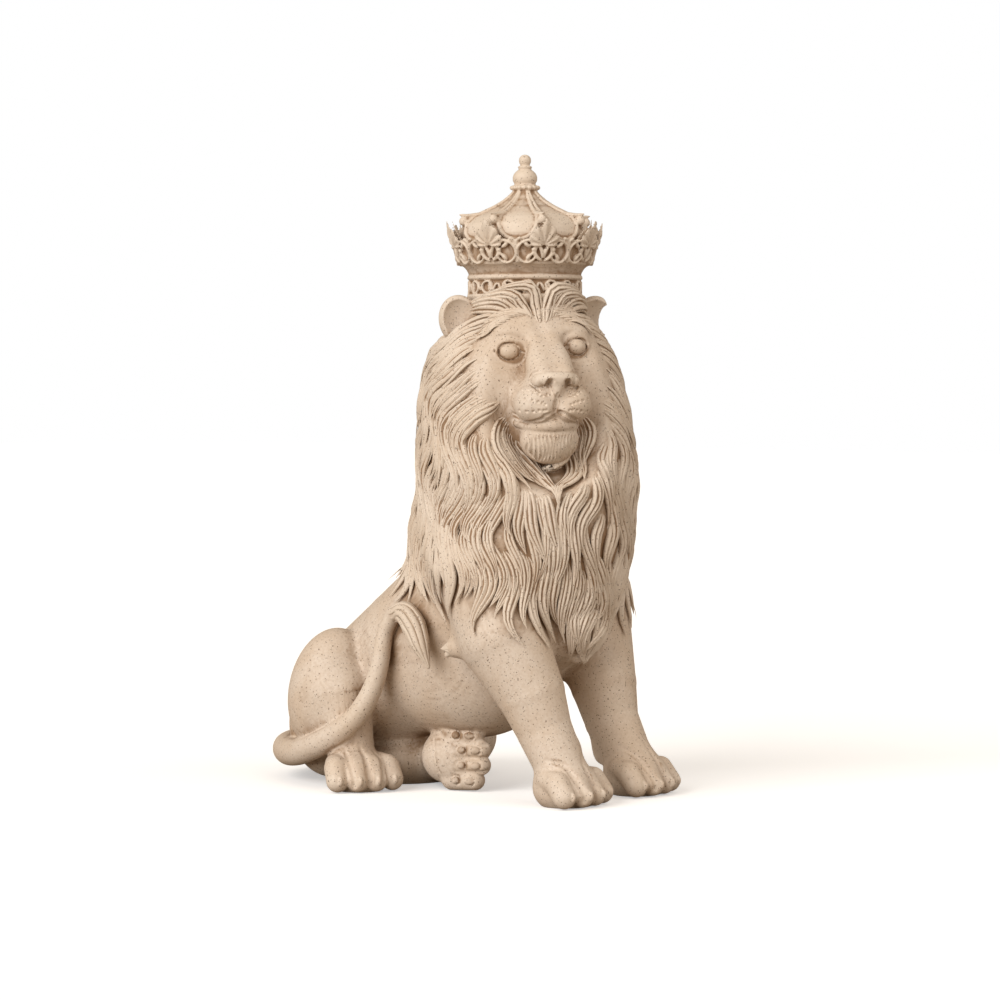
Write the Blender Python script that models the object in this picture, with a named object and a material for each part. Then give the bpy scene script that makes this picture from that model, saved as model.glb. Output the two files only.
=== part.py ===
"""A crowned lion that sits with its hind legs to one side, cast in one piece of stone-coloured resin.

The lion faces -Y and its left is +X. Pose, proportions and carving are drawn in figure units, of which it
is UNITS_TALL high, and FIGURE turns them into metres. The finished solid stands on z = 0 with the origin
under the middle of its box.
"""

import math

import bmesh
import bpy
import numpy as np
from mathutils import Euler, Matrix, Vector

# Driving dimensions, in metres
HEIGHT = 0.270
CROWN_BAND_RADIUS = 0.0231
CROWN_RIM_RADIUS = 0.0312
LOCK_WIDTH = 0.0122

# Counts
CROWN_LEAVES = 8
LOCK_ROWS = 5

# The figure's own measure and pose
UNITS_TALL = 270
FIGURE = HEIGHT / UNITS_TALL
HEAD_TURN = math.radians(-37)

# How finely the form is modelled, as steps over the height
STEPS = 208
FINE_STEPS = 318
GRAIN = UNITS_TALL / STEPS
FINE_GRAIN = UNITS_TALL / FINE_STEPS
SOLID_TRIANGLES = 9800
FACE_WEIGHT = 0.86
CROWN_WEIGHT = 0.95
FAR = 40.0

# The block of space that holds the figure, in figure units
SPACE_LOW = (-66.0, -112.0, -4.0)
SPACE_HIGH = (76.0, 102.0, 232.0)

# How far a lock's underside reaches into the mane, its height as a share of its width, and the height
# below which the locks of the chest are shorter
LOCK_ROOT = 2.6
LOCK_RELIEF = 0.6
CHEST_LOCKS = 96

# Where the head stands over the body
NECK = np.array((0.0, -46.6, 0.0))

# Looks
RESIN_COLOUR = (0.60, 0.46, 0.32, 1.0)
RESIN_ROUGHNESS = 0.6


def smooth_min(a, b, blend):
    """The lower of two distances, with a fillet of about the blend's size where they meet."""
    near = np.clip(blend - np.abs(a - b), 0, None) / blend
    return np.minimum(a, b) - near * near * blend * 0.25


def turn_z(angle):
    """A turn about the upright axis."""
    return np.array(Matrix.Rotation(angle, 3, "Z"))


def turn_by(*degrees):
    return np.array(Euler([math.radians(d) for d in degrees]).to_matrix())


class Ball:
    """An ellipsoid."""

    def __init__(self, centre, radii, axes=None):
        self.centre = np.array(centre, float)
        self.radii = np.array(radii, float)
        self.axes = np.eye(3) if axes is None else np.array(axes, float)
        reach = np.sqrt(((self.axes * self.radii) ** 2).sum(axis=1))
        self.low = self.centre - reach
        self.high = self.centre + reach

    def distance(self, x, y, z):
        p = (x - self.centre[0], y - self.centre[1], z - self.centre[2])
        own = [sum(self.axes[j, i] * p[j] for j in range(3)) for i in range(3)]
        near = np.sqrt(sum((own[i] / self.radii[i]) ** 2 for i in range(3)))
        steep = np.sqrt(sum((own[i] / self.radii[i] ** 2) ** 2 for i in range(3)))
        return near * (near - 1) / np.maximum(steep, 1e-6)

    def build(self, bm):
        matrix = Matrix(self.axes.tolist()) @ Matrix.Diagonal(self.radii.tolist())
        matrix = Matrix.Translation(self.centre.tolist()) @ matrix.to_4x4()
        bmesh.ops.create_icosphere(bm, subdivisions=3, radius=1.0, matrix=matrix)


class Bar:
    """A round bar that runs through points, with a radius at each."""

    def __init__(self, points, radii):
        self.points = np.array(points, float)
        self.radii = np.array(radii, float)
        self.low = (self.points - self.radii[:, None]).min(axis=0)
        self.high = (self.points + self.radii[:, None]).max(axis=0)

    def distance(self, x, y, z):
        nearest = None
        for i in range(len(self.points) - 1):
            start = self.points[i]
            along = self.points[i + 1] - start
            p = (x - start[0], y - start[1], z - start[2])
            t = np.clip(sum(p[j] * along[j] for j in range(3)) / max(float(along @ along), 1e-9), 0, 1)
            off = np.sqrt(sum((p[j] - along[j] * t) ** 2 for j in range(3)))
            off = off - (self.radii[i] + (self.radii[i + 1] - self.radii[i]) * t)
            nearest = off if nearest is None else np.minimum(nearest, off)
        return nearest

    def build(self, bm):
        for i, (point, radius) in enumerate(zip(self.points, self.radii)):
            place = Matrix.Translation(point.tolist())
            bmesh.ops.create_icosphere(bm, subdivisions=2, radius=radius, matrix=place)
            if i == 0:
                continue
            start = Vector(self.points[i - 1])
            along = Vector(point) - start
            turn = along.to_track_quat("Z", "Y").to_matrix().to_4x4()
            matrix = Matrix.Translation(start + along / 2) @ turn
            bmesh.ops.create_cone(bm, cap_ends=True, segments=16, radius1=self.radii[i - 1], radius2=radius,
                                  depth=along.length, matrix=matrix)


def smooth_path(points, radii, per_span=5):
    """A soft curve through the points, with the radii that go with it."""
    points = np.array(points, float)
    radii = np.array(radii, float)
    padded = np.vstack((2 * points[0] - points[1], points, 2 * points[-1] - points[-2]))
    curve = []
    sizes = []
    for i in range(len(points) - 1):
        a, b, c, d = padded[i:i + 4]
        for step in range(per_span):
            t = step / per_span
            bend = (2 * a - 5 * b + 4 * c - d) * t * t + (3 * b - a - 3 * c + d) * t ** 3
            curve.append(0.5 * (2 * b + (c - a) * t + bend))
            sizes.append(radii[i] + (radii[i + 1] - radii[i]) * t)
    curve.append(points[-1])
    sizes.append(radii[-1])
    return np.array(curve), np.array(sizes)


class Clay:
    """The figure's rough solids, and a grid with the distance to the blended surface, below zero inside."""

    def __init__(self, low, high, grain):
        self.low = np.array(low, float)
        self.grain = grain
        self.axes = [np.arange(a, b, grain, dtype=np.float32) for a, b in zip(low, high)]
        self.depth = np.full([len(axis) for axis in self.axes], FAR, np.float32)
        self.cores = bmesh.new()

    def window(self, shape, margin):
        """The part of the grid around a shape, and its coordinates."""
        slices = []
        for axis, a, b in zip(self.axes, shape.low, shape.high):
            first, last = np.searchsorted(axis, (a - margin, b + margin))
            slices.append(slice(int(first), int(last)))
        x, y, z = (axis[s] for axis, s in zip(self.axes, slices))
        return tuple(slices), (x[:, None, None], y[None, :, None], z[None, None, :])

    def add(self, shape, blend=0.5):
        part, grid = self.window(shape, blend + 3 * self.grain)
        self.depth[part] = smooth_min(self.depth[part], shape.distance(*grid), blend)
        shape.build(self.cores)

    def cut(self, shape, blend=0.5):
        part, grid = self.window(shape, blend + 3 * self.grain)
        self.depth[part] = -smooth_min(-self.depth[part], shape.distance(*grid), blend)

    def level(self, height):
        """Cuts the figure off flat, so that it stands."""
        self.depth = np.maximum(self.depth, height - self.axes[2][None, None, :])

    def sample(self, points):
        """The distance at any points, read between the grid points."""
        at = np.clip((points - self.low) / self.grain, 0, np.array(self.depth.shape) - 1.001)
        base = at.astype(int)
        t = at - base
        value = np.zeros(len(points))
        for corner in np.ndindex(2, 2, 2):
            weight = np.prod(np.where(corner, t, 1 - t), axis=1)
            i, j, k = (base + corner).T
            value += weight * self.depth[i, j, k]
        return value

    def slope(self, points):
        """The outward direction at any points."""
        steps = np.eye(3) * self.grain
        rise = np.stack([self.sample(points + s) - self.sample(points - s) for s in steps], axis=1)
        return rise / np.maximum(np.linalg.norm(rise, axis=1, keepdims=True), 1e-9)

    def settled(self, points, height=0.0, rounds=3):
        """The points moved onto the surface, or onto a height above it."""
        for _ in range(rounds):
            points = points - (self.sample(points) - height)[:, None] * self.slope(points)
        return points

    def modelled(self, name):
        """The rough solids fused into one skin, which is then drawn onto the blended surface."""
        skin = mesh_object(name, self.cores)
        for _ in range(2):
            fuse(skin, self.grain)
            points = vertex_array(skin) / FIGURE
            points = self.settled(points, rounds=5)
            skin.data.vertices.foreach_set("co", (points * FIGURE).ravel())
            skin.data.update()
        return skin


def mesh_object(name, bm):
    """The built mesh in metres, as an object."""
    bmesh.ops.scale(bm, vec=(FIGURE, FIGURE, FIGURE), verts=bm.verts)
    mesh = bpy.data.meshes.new(name)
    bm.to_mesh(mesh)
    bm.free()
    obj = bpy.data.objects.new(name, mesh)
    bpy.context.scene.collection.objects.link(obj)
    return obj


def vertex_array(obj):
    flat = np.empty(len(obj.data.vertices) * 3)
    obj.data.vertices.foreach_get("co", flat)
    return flat.reshape(-1, 3)


def apply_modifiers(obj):
    """Replaces the object's mesh with what its modifiers make of it."""
    evaluated = obj.evaluated_get(bpy.context.evaluated_depsgraph_get())
    shaped = bpy.data.meshes.new_from_object(evaluated)
    obj.modifiers.clear()
    rough = obj.data
    obj.data = shaped
    bpy.data.meshes.remove(rough)


def fuse(obj, grain):
    """Makes one skin of all the closed shapes in the mesh."""
    remesh = obj.modifiers.new("Fuse", "REMESH")
    remesh.mode = "VOXEL"
    remesh.voxel_size = grain * FIGURE
    apply_modifiers(obj)


def strand(bm, points, normals, widths, heights, depths):
    """A closed leaf-shaped strand: half-widths sideways, heights outwards and depths inwards."""
    along = np.gradient(points, axis=0)
    side = np.cross(normals, along)
    side /= np.maximum(np.linalg.norm(side, axis=1, keepdims=True), 1e-9)
    outer = ((-1.0, 0.0), (-0.58, 0.78), (0.0, 1.0), (0.58, 0.78), (1.0, 0.0))
    inner = (0.8, -0.8)
    rings = []
    for i in range(1, len(points) - 1):
        ring = []
        for across, up in outer:
            ring.append(points[i] + side[i] * across * widths[i] + normals[i] * up * heights[i])
        for across in inner:
            ring.append(points[i] + side[i] * across * widths[i] - normals[i] * depths[i])
        rings.append([bm.verts.new(place) for place in ring])
    root = bm.verts.new(points[0])
    tip = bm.verts.new(points[-1] - normals[-1] * depths[-1] / 2)
    count = len(outer) + len(inner)
    for k in range(count):
        n = (k + 1) % count
        bm.faces.new((root, rings[0][n], rings[0][k]))
        bm.faces.new((tip, rings[-1][k], rings[-1][n]))
        for a, b in zip(rings, rings[1:]):
            bm.faces.new((a[k], a[n], b[n], b[k]))


class HeadFrame:
    """Places the head: side is towards the lion's left, front is along its gaze, and up is the height."""

    def __init__(self, turn):
        self.axes = turn_z(turn)

    def at(self, side, front, up):
        return NECK + self.axes @ np.array((side, -front, 0.0)) + np.array((0.0, 0.0, up))

    def ball(self, centre, radii, tilt=(0, 0, 0)):
        """An ellipsoid with its radii sideways, forwards and upwards, and a tilt in the head's frame."""
        return Ball(self.at(*centre), radii, self.axes @ turn_by(*tilt))

    def bar(self, points, radii):
        return Bar([self.at(*p) for p in points], radii)

    def local(self, points):
        """Points as side, front and up."""
        return (points - NECK) @ self.axes * np.array((1, -1, 1))


def body(clay):
    """The barrel of the body, the chest and the hips."""
    spine = [(0, -45, 92), (0, 6, 57), (4, 36, 40), (10, 54, 29)]
    clay.add(Bar(spine, [36, 32.5, 29.5, 25.5]), blend=8)
    clay.add(Ball((0, -49, 92), (35, 33, 42)), blend=12)
    clay.add(Ball((17, 55, 23.5), (31.5, 25, 27.5), turn_by(-6, 0, 0)), blend=12)
    clay.add(Ball((0, -24, 48.5), (29, 33, 26), turn_by(-14, 0, 0)), blend=12)


def mane_form(clay, head):
    """The mass of the mane, which the locks lie on, hollowed where the face sits."""
    clay.add(Ball((0, -45, 166), (40, 41, 43)), blend=10)
    clay.add(Ball((0.5, -47.5, 133), (43, 45, 50)), blend=12)
    clay.add(Ball((0, -46, 106), (41.5, 42, 34)), blend=10)
    clay.add(Ball((0, -14, 110), (27, 24, 27), turn_by(-30, 0, 0)), blend=12)
    clay.add(Bar([(-1, -58, 96), (-2, -70, 72), (-3, -77, 60)], [30, 15, 3.5]), blend=8)
    clay.cut(head.ball((0, 43, 171), (32, 19, 42)), blend=4)


def front_legs(clay):
    """The shoulder, upper arm and forearm of each side."""
    radii = [21, 18.5, 14.2, 11.6, 10.6, 10.6]
    right = [(-29, -48, 98), (-33, -60, 69), (-29, -72, 46), (-27, -77.5, 31), (-26, -84, 18), (-26, -87, 11)]
    left = [(29, -47, 96), (31, -57, 70), (27, -68, 46), (26, -73, 31), (25, -81, 18), (25, -86, 11)]
    for leg in (right, left):
        clay.add(Bar(leg, radii), blend=6)
    clay.add(Bar([(-33, -48, 72), (-41, -42, 64), (-43, -39, 61)], [11, 4.2, 1.2]), blend=5)
    clay.add(Bar([(33, -46, 72), (40, -39, 64), (41, -36, 61)], [11, 4.2, 1.2]), blend=5)
    for side in (-1, 1):
        clay.add(Ball((side * 25 - 3, -71, 19), (4, 4, 7)), blend=3)


def paw(clay, centre, heading, width=33.0):
    """A broad paw with four toes, flat underneath. The centre is under the ankle."""
    turn = turn_z(math.radians(heading))
    origin = np.array(centre, float)

    def at(side, front, up):
        return origin + turn @ np.array((side, -front, 0.0)) + np.array((0, 0, up))

    clay.add(Ball(at(0, 2.5, 7.2), (width * 0.44, 13.5, 10.5), turn), blend=4)
    for side, reach in ((-1.5, -2.6), (-0.5, 0.0), (0.5, 0.0), (1.5, -2.6)):
        place = side * width * 0.262
        toe = [at(place * 0.80, 3 + reach, 11.4), at(place * 0.94, 9.5 + reach, 10.2)]
        toe.append(at(place, 13.6 + reach, 5.2))
        clay.add(Bar(toe, [4.6, 5.0, 4.7]), blend=0.9)
        clay.add(Ball(at(place, 17.9 + reach, 5.4), (1.3, 1.5, 2.3), turn), blend=0.2)


def hind_legs(clay):
    """The raised right thigh with its shank, and the left leg that lies folded on the ground."""
    clay.add(Ball((-12, 50, 25), (20, 19, 24)), blend=6)
    clay.add(Ball((-27.5, 38, 40.5), (19, 18, 28), turn_by(13, 0, 0)), blend=2.6)
    clay.add(Bar([(-32, 28, 40), (-32, 24, 20), (-33, 21, 10)], [13, 10.5, 10]), blend=4)
    clay.add(Bar([(22, 50, 26), (46, 30, 20), (46, 17, 13)], [25, 17, 12]), blend=7)
    clay.add(Bar([(45, 16, 11.5), (24, 6, 9), (4, -2, 11)], [10.5, 8.5, 9]), blend=5)
    clay.add(Ball((10, 22, 9), (27, 20, 16)), blend=4)


def folded_foot(clay):
    """The left hind foot, which comes out under the belly on its side and shows its sole."""
    clay.add(Bar([(2, 0, 11), (-8, -12, 14)], [9, 12]), blend=4)
    clay.add(Ball((-9, -19, 14.0), (9, 9.5, 14.0)), blend=3)
    for level, reach in ((4.9, -2.2), (11.5, 1.0), (18.1, 1.0), (24.2, -2.2)):
        toe = [(-12, -19 - reach, level), (-10.5, -30.2 - reach, level)]
        clay.add(Bar(toe, [4.8, 4.3]), blend=0.7)
    clay.add(Ball((-16, -14, 14.5), (3, 5, 8)), blend=1.0)


def tail(clay):
    """The tail lies round the hip on the ground, rises along the flank and ends in a tuft that turns over."""
    path = [(20, 81, 14), (4, 83.4, 12.4), (-12, 76.5, 12.4), (-26, 63, 12.6), (-36, 47.5, 14.6)]
    path += [(-41.5, 33, 19), (-42.5, 21, 25), (-41, 11, 33.5), (-39, 4.5, 45), (-37.5, 1.5, 57)]
    path += [(-36, 0.5, 68), (-35.5, -4, 76)]
    radii = [7.2, 7.0, 6.7, 6.3, 5.8, 5.4, 5.0, 4.6, 4.2, 3.8, 3.5, 3.4]
    clay.add(Bar(*smooth_path(path, radii)), blend=0.6)
    tuft = [(-35.5, -4, 76), (-37, -11, 77), (-39.5, -18, 72), (-41, -23, 64), (-40.5, -27, 55)]
    clay.add(Bar(*smooth_path(tuft, [3.5, 4.4, 5.2, 4.0, 0.8])), blend=0.8)


def face(clay, head):
    """Skull, cheeks, nose, muzzle and chin, with the eyes and the mouth cut in."""
    clay.add(head.ball((0, 2, 185), (28, 27, 27)), blend=3)
    clay.add(head.ball((0, 14, 187), (25, 16.5, 21)), blend=5)
    clay.add(head.ball((0, 34, 167), (14.5, 17, 12)), blend=6)
    clay.add(head.ball((0, 22, 160), (16, 17, 15)), blend=6)
    for side in (-1, 1):
        clay.add(head.bar([(side * 3.0, 25.5, 190.5), (side * 4.0, 43.0, 176.3)], [6.8, 5.6]), blend=4)
        clay.add(head.ball((side * 16.5, 16, 172), (13, 15, 18)), blend=6)
        clay.add(head.ball((side * 12.0, 25.0, 194.6), (7.5, 3.8, 3.0)), blend=4)
        clay.add(head.ball((side * 7.3, 42.6, 165.2), (8.8, 9.4, 8.4)), blend=1.2)
        clay.add(head.ball((side * 4.4 - 0.8, 45.6, 162.4), (4.5, 6.4, 5.0)), blend=1.5)
    clay.add(head.ball((0, 37.5, 150.5), (12.2, 11, 10.2)), blend=3)
    lip = [(-12.5, 33, 157.4), (-8, 43.5, 155.8), (0, 47.4, 155.4), (8, 43.5, 155.8), (12.5, 33, 157.4)]
    clay.add(head.bar(*smooth_path(lip, [1.6, 2.1, 2.2, 2.1, 1.6])), blend=0.8)
    nose(clay, head)
    for side in (-1, 1):
        eye(clay, head, side)


def nose(clay, head):
    """The broad nose pad with its wings and nostrils, the groove below it and the line of the mouth."""
    pad = [(-6.6, 46.4, 175.8), (-3.2, 49.6, 175.6), (3.2, 49.6, 175.6), (6.6, 46.4, 175.8)]
    clay.add(head.bar(*smooth_path(pad, [2.6, 3.1, 3.1, 2.6])), blend=0.9)
    clay.add(head.bar([(0, 50.4, 173.6), (-0.6, 51.2, 169.4)], [3.2, 1.5]), blend=0.8)
    for side in (-1, 1):
        clay.add(head.ball((side * 7.4, 46.6, 174.6), (2.4, 3.6, 2.7)), blend=0.6)
        hole = [(side * 4.2, 53.0, 173.2), (side * 5.6, 52.0, 171.6), (side * 8.4, 48.5, 171.0)]
        clay.cut(head.bar(hole, [1.9, 1.5, 1.1]), blend=0.4)
        line = [(-0.9, 56, 161.0), (side * 4, 54, 158.6), (side * 8.6, 49.5, 157.8), (side * 14, 34, 161.0)]
        line = clay.settled(np.array([head.at(*p) for p in line]), rounds=5)
        clay.cut(Bar(line, [1.1, 1.1, 1.1, 0.8]), blend=0.5)
    clay.cut(head.bar([(-0.5, 54, 168), (-0.9, 54, 161)], [1.1, 1.1]), blend=0.5)


def eye(clay, head, side):
    """A round eyeball in its socket, with an upper and a lower lid."""
    centre = np.array((side * 14.4, 0.0, 187.8 + side))
    gaze = np.array((side * 0.42, 0.9, 0.0))
    across = np.array((0.9, -side * 0.42, 0.0))
    for dip in (2.4, 0.0):
        start = head.at(centre[0], 30, centre[2])
        centre[1] = head.local(clay.settled(start[None], rounds=6))[0, 1]
        if dip:
            clay.cut(head.ball(centre + gaze * dip, (7.5, 3.4, 5.4)), blend=4.5)
    for first, last, tall, size in ((0, 180, 4.9, 1.5), (180, 360, 4.5, 1.1)):
        turns = np.radians(np.linspace(first, last, 9))
        lid = [centre + across * math.cos(a) * 6.1 + (0, 0, tall * math.sin(a)) for a in turns]
        lid = clay.settled(np.array([head.at(*place) for place in lid]))
        clay.add(Bar(lid, 0.5 + (size - 0.5) * np.abs(np.sin(turns))), blend=1.5)
    clay.cut(head.ball(centre + gaze * 0.9, (5.4, 2.6, 4.5)), blend=0.3)
    clay.add(head.ball(centre - gaze * 1.6, (4.6, 4.6, 3.8)), blend=0.1)


def ears(clay, head):
    for side in (-1, 1):
        tilt = (8, side * 12, side * 24)
        clay.add(head.ball((side * 29, 3, 200), (9, 5.4, 10.8), tilt), blend=2)
        clay.cut(head.ball((side * 31.2, 8.6, 200.6), (7.3, 5.0, 9.0), tilt), blend=0.9)


def figure(grain):
    """The whole lion without its locks and crown."""
    clay = Clay(SPACE_LOW, SPACE_HIGH, grain)
    head = HeadFrame(HEAD_TURN)
    body(clay)
    hind_legs(clay)
    mane_form(clay, head)
    front_legs(clay)
    face(clay, head)
    ears(clay, head)
    folded_foot(clay)
    paw(clay, (-25, -85, 0), 0)
    paw(clay, (25, -84, 0), 3)
    paw(clay, (-35, 17, 0), -32, width=31.0)
    tail(clay)
    clay.level(0.0)
    return clay, head


def wrapped(angle):
    return (angle + math.pi) % (2 * math.pi) - math.pi


def around(points):
    """The angle round the neck, from the front towards the lion's left."""
    return np.arctan2(points[:, 0] - NECK[0], NECK[1] - points[:, 1])


def parting(level):
    """The angle of the line that the chest hair falls to, from under the chin to the tip of the bib."""
    return np.interp(level, (50, 75, 124, 150), (-0.1, -0.36, -0.6, HEAD_TURN))


def hair_way(points, normals, head, curl):
    """The way the hair lies: away from the face, then down in long waves, and together on the chest."""
    angle = around(points)
    level = points[:, 2]
    away = wrapped(angle - parting(level))
    reach = np.abs(away)
    side = np.clip(away / 0.22, -1, 1)
    spread = np.clip((level - 142) / 40, 0, 1.1) * np.clip((2.9 - reach) / 1.2, 0, 1)
    under_chin = np.exp(-((level - 130) / 13) ** 2) * np.clip(1.35 - reach / 0.5, 0, 1)
    middle = np.exp(-((level - 108) / 12) ** 2) * np.clip(1.4 - reach / 0.7, 0, 1)
    at_bib = np.clip((98 - level) / 26, 0, 1) * np.clip((1.6 - reach) / 0.6, 0, 1)
    wave = 0.42 * np.sin(level * 0.175 + angle * 3.0 + 1.3 * np.sin(angle * 4.0))
    wave *= np.clip(reach / 0.4, 0.25, 1)
    sideways = np.stack((np.cos(angle), np.sin(angle), np.zeros(len(angle))), axis=1)
    amount = side * (spread + 0.25 * middle - 0.7 * under_chin - 0.55 * at_bib) + wave + curl
    way = sideways * amount[:, None] - np.array((0, 0, 1.0))
    place = head.local(points)
    rise = np.clip(place[:, 2] - 184, -26, 24)
    from_face = np.stack((place[:, 0] * 1.5, np.zeros(len(place)), rise), axis=1)
    from_face /= np.maximum(np.linalg.norm(from_face, axis=1, keepdims=True), 1e-9)
    beyond = np.sqrt((place[:, 0] / 27) ** 2 + ((place[:, 2] - 178) / 30) ** 2) - 1
    near = np.exp(-np.clip(beyond, 0, None) / 0.3) * (place[:, 1] > -6) * np.clip((level - 146) / 12, 0, 1)
    way = way * (1 - near)[:, None] + 1.2 * near[:, None] * (from_face @ head.axes.T)
    way -= normals * (way * normals).sum(axis=1, keepdims=True)
    return way / np.maximum(np.linalg.norm(way, axis=1, keepdims=True), 1e-9)


def hairline(level):
    """Half the width of the bare face at a height."""
    return np.interp(level, (139, 141, 143, 150, 156, 162, 168, 175, 183, 192, 199, 203, 204.5),
                     (0, 3, 7, 11, 12.5, 15.5, 20.5, 26, 27, 25, 20, 12, 0))


def face_line(head):
    """Roots of the locks that frame the face, from the brow down both cheeks to the chin."""
    half = [(2, 203.5), (9, 204), (16, 202), (20.5, 199)]
    half += [(hairline(z) + 1.5, z) for z in np.arange(194, 142, -6.5)] + [(5, 140.5)]
    return np.array([head.at(side * s, 34 - 0.8 * s, z) for side in (-1, 1) for s, z in half])


def lock_roots(clay, head, rng):
    """Where locks grow: rows round the mane, bottom row first, and the line around the face last."""
    roots = []
    reach = 46.0
    count = round(2 * math.pi * reach * FIGURE / LOCK_WIDTH)
    for row in range(LOCK_ROWS):
        level = 106 + row * 94 / (LOCK_ROWS - 1)
        for k in range(count):
            angle = (k + 0.5 * (row % 2) + rng.uniform(-0.2, 0.2)) * 2 * math.pi / count
            here = level + rng.uniform(-5, 5) - 8 * math.cos(angle) * (row < 2)
            roots.append(NECK + (reach * math.sin(angle), -reach * math.cos(angle), here))
    roots = clay.settled(np.array(roots), rounds=6)
    place = head.local(roots)
    inside = (place[:, 1] > 0) & (np.abs(place[:, 0]) < hairline(place[:, 2]) + 3)
    return np.vstack((roots[~inside], clay.settled(face_line(head), rounds=6)))


def mane(bm, clay, head):
    """The locks of the mane: pointed S-shaped strands that overlap down to the chest and the withers."""
    rng = np.random.default_rng(7)
    points = lock_roots(clay, head, rng)
    count = len(points)
    stations = 9
    length = rng.uniform(30, 44, count)
    length[points[:, 2] < CHEST_LOCKS] *= 0.7
    curl = rng.uniform(-0.9, 0.9, count)
    rise = rng.uniform(0, 1, count)
    path = []
    normals = []
    lifts = []
    for station in range(stations):
        share = station / (stations - 1)
        normal = clay.slope(points)
        lift = -2.0 + 2.6 * math.sin(math.pi * min(share * 1.25, 1) * 0.62) + rise * share
        path.append(points + normal * lift[:, None])
        normals.append(normal)
        lifts.append(lift)
        way = hair_way(points, normal, head, curl * share ** 2)
        points = clay.settled(points + way * (length / (stations - 1))[:, None], rounds=2)
    shape = np.sin(np.linspace(0, math.pi, stations)) ** 0.7
    shape[:2] = (0.4, 0.75)
    half = LOCK_WIDTH / FIGURE / 2
    for k in range(count):
        width = shape * half * rng.uniform(0.85, 1.2)
        depth = np.array([lift[k] for lift in lifts]) + LOCK_ROOT
        lock = np.array([p[k] for p in path])
        outward = np.array([n[k] for n in normals])
        strand(bm, lock, outward, width, width * LOCK_RELIEF, np.maximum(depth, LOCK_ROOT))


def crown_profile():
    """The turned outline of the crown, from the head up to its knob, as radius and height."""
    band = CROWN_BAND_RADIUS / FIGURE
    rim = CROWN_RIM_RADIUS / FIGURE
    outline = [(0, 204), (band - 1, 204), (band + 0.8, 210.0), (band + 0.8, 211.0), (band, 211.6)]
    outline += [(band, 216.8), (band + 0.9, 217.2), (band + 0.9, 218.8), (band + 0.4, 219.4), (band + 1.2, 221.4)]
    outline += [(rim - 4.6, 223.4), (rim - 3.9, 224.4), (rim - 1.4, 233.2), (rim - 2.4, 234), (rim - 4.6, 232.6)]
    return outline + dome_profile() + knob_profile()


def dome_profile():
    """The hollow-sided dome, from its eave up to the collar."""
    eave = CROWN_RIM_RADIUS / FIGURE - 4.6
    edge = [(eave, 236), (eave - 1.1, 240.4), (eave - 4.2, 243.4)]
    return edge + [(17.4, 245.8), (10.6, 248.6), (6.9, 251.2), (4.6, 254)]


def knob_profile():
    """Collar, pear-shaped ball, disc and small ball on top of the dome."""
    return [(5.8, 255), (5.8, 256.8), (4.2, 257.3), (5.2, 259.6), (4.3, 262.4), (2.2, 263.9), (3.1, 264.3),
            (3.0, 265.1), (1.7, 265.4), (2.6, 267.1), (1.9, 269.2), (0, 270)]


def crown_place(angle, radius, height, lean=0.0):
    """A frame on the crown: its axes run round the crown, outwards and up, with the top leaning out."""
    turn = turn_z(HEAD_TURN + angle)
    origin = NECK + turn @ np.array((0, -radius, 0)) + np.array((0, 0, height))
    return turn @ turn_by(math.degrees(lean), 0, 0) @ np.diag((1, -1, 1)), origin


def crown_strand(bm, frame, points, widths, heights):
    """A strand laid on the crown's wall, drawn as points across and up."""
    turn, origin = frame
    flat = np.array([(x, 0.0, z) for x, z in points])
    normal = turn @ np.array((0.0, 1.0, 0.0))
    heights = np.array(heights)
    strand(bm, origin + flat @ turn.T, np.tile(normal, (len(points), 1)), np.array(widths), heights, heights)


def scroll(side, width, height, steps=15):
    """A C-shaped scroll with both ends curled in. It is open towards its leaf."""
    points = []
    for i in range(steps):
        t = 2 * i / (steps - 1) - 1
        turn = t * math.radians(200)
        size = 1 - 0.55 * max(0.0, abs(t) - 0.45) / 0.55
        across = side * (0.5 + 0.5 * math.cos(turn) * size) * width
        points.append((across, 0.5 * math.sin(turn) * size * height))
    return points


def on_dome(drop):
    """Radius and height on the dome at a share of the way from the collar down to the eave."""
    profile = dome_profile()[::-1]
    at = drop * (len(profile) - 1)
    i = min(int(at), len(profile) - 2)
    t = at - i
    return tuple(a + (b - a) * t for a, b in zip(profile[i], profile[i + 1]))


def petal_edge(middle):
    """The raised edge of one panel of the dome: down one side, round its foot and up the other side."""
    half = math.pi / CROWN_LEAVES
    points = []
    for i in range(-12, 13):
        t = i / 12
        drop = 1.0 - 0.98 * max(0.0, abs(t) - 0.12) / 0.88
        open_share = math.sqrt(max(0.0, 1 - max(0.0, (drop - 0.62) / 0.38) ** 2))
        radius, height = on_dome(drop)
        turn = turn_z(HEAD_TURN + middle + math.copysign(half * 0.93 * open_share, t))
        points.append(NECK + turn @ np.array((0, -radius, 0)) + np.array((0, 0, height)))
    return points


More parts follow.
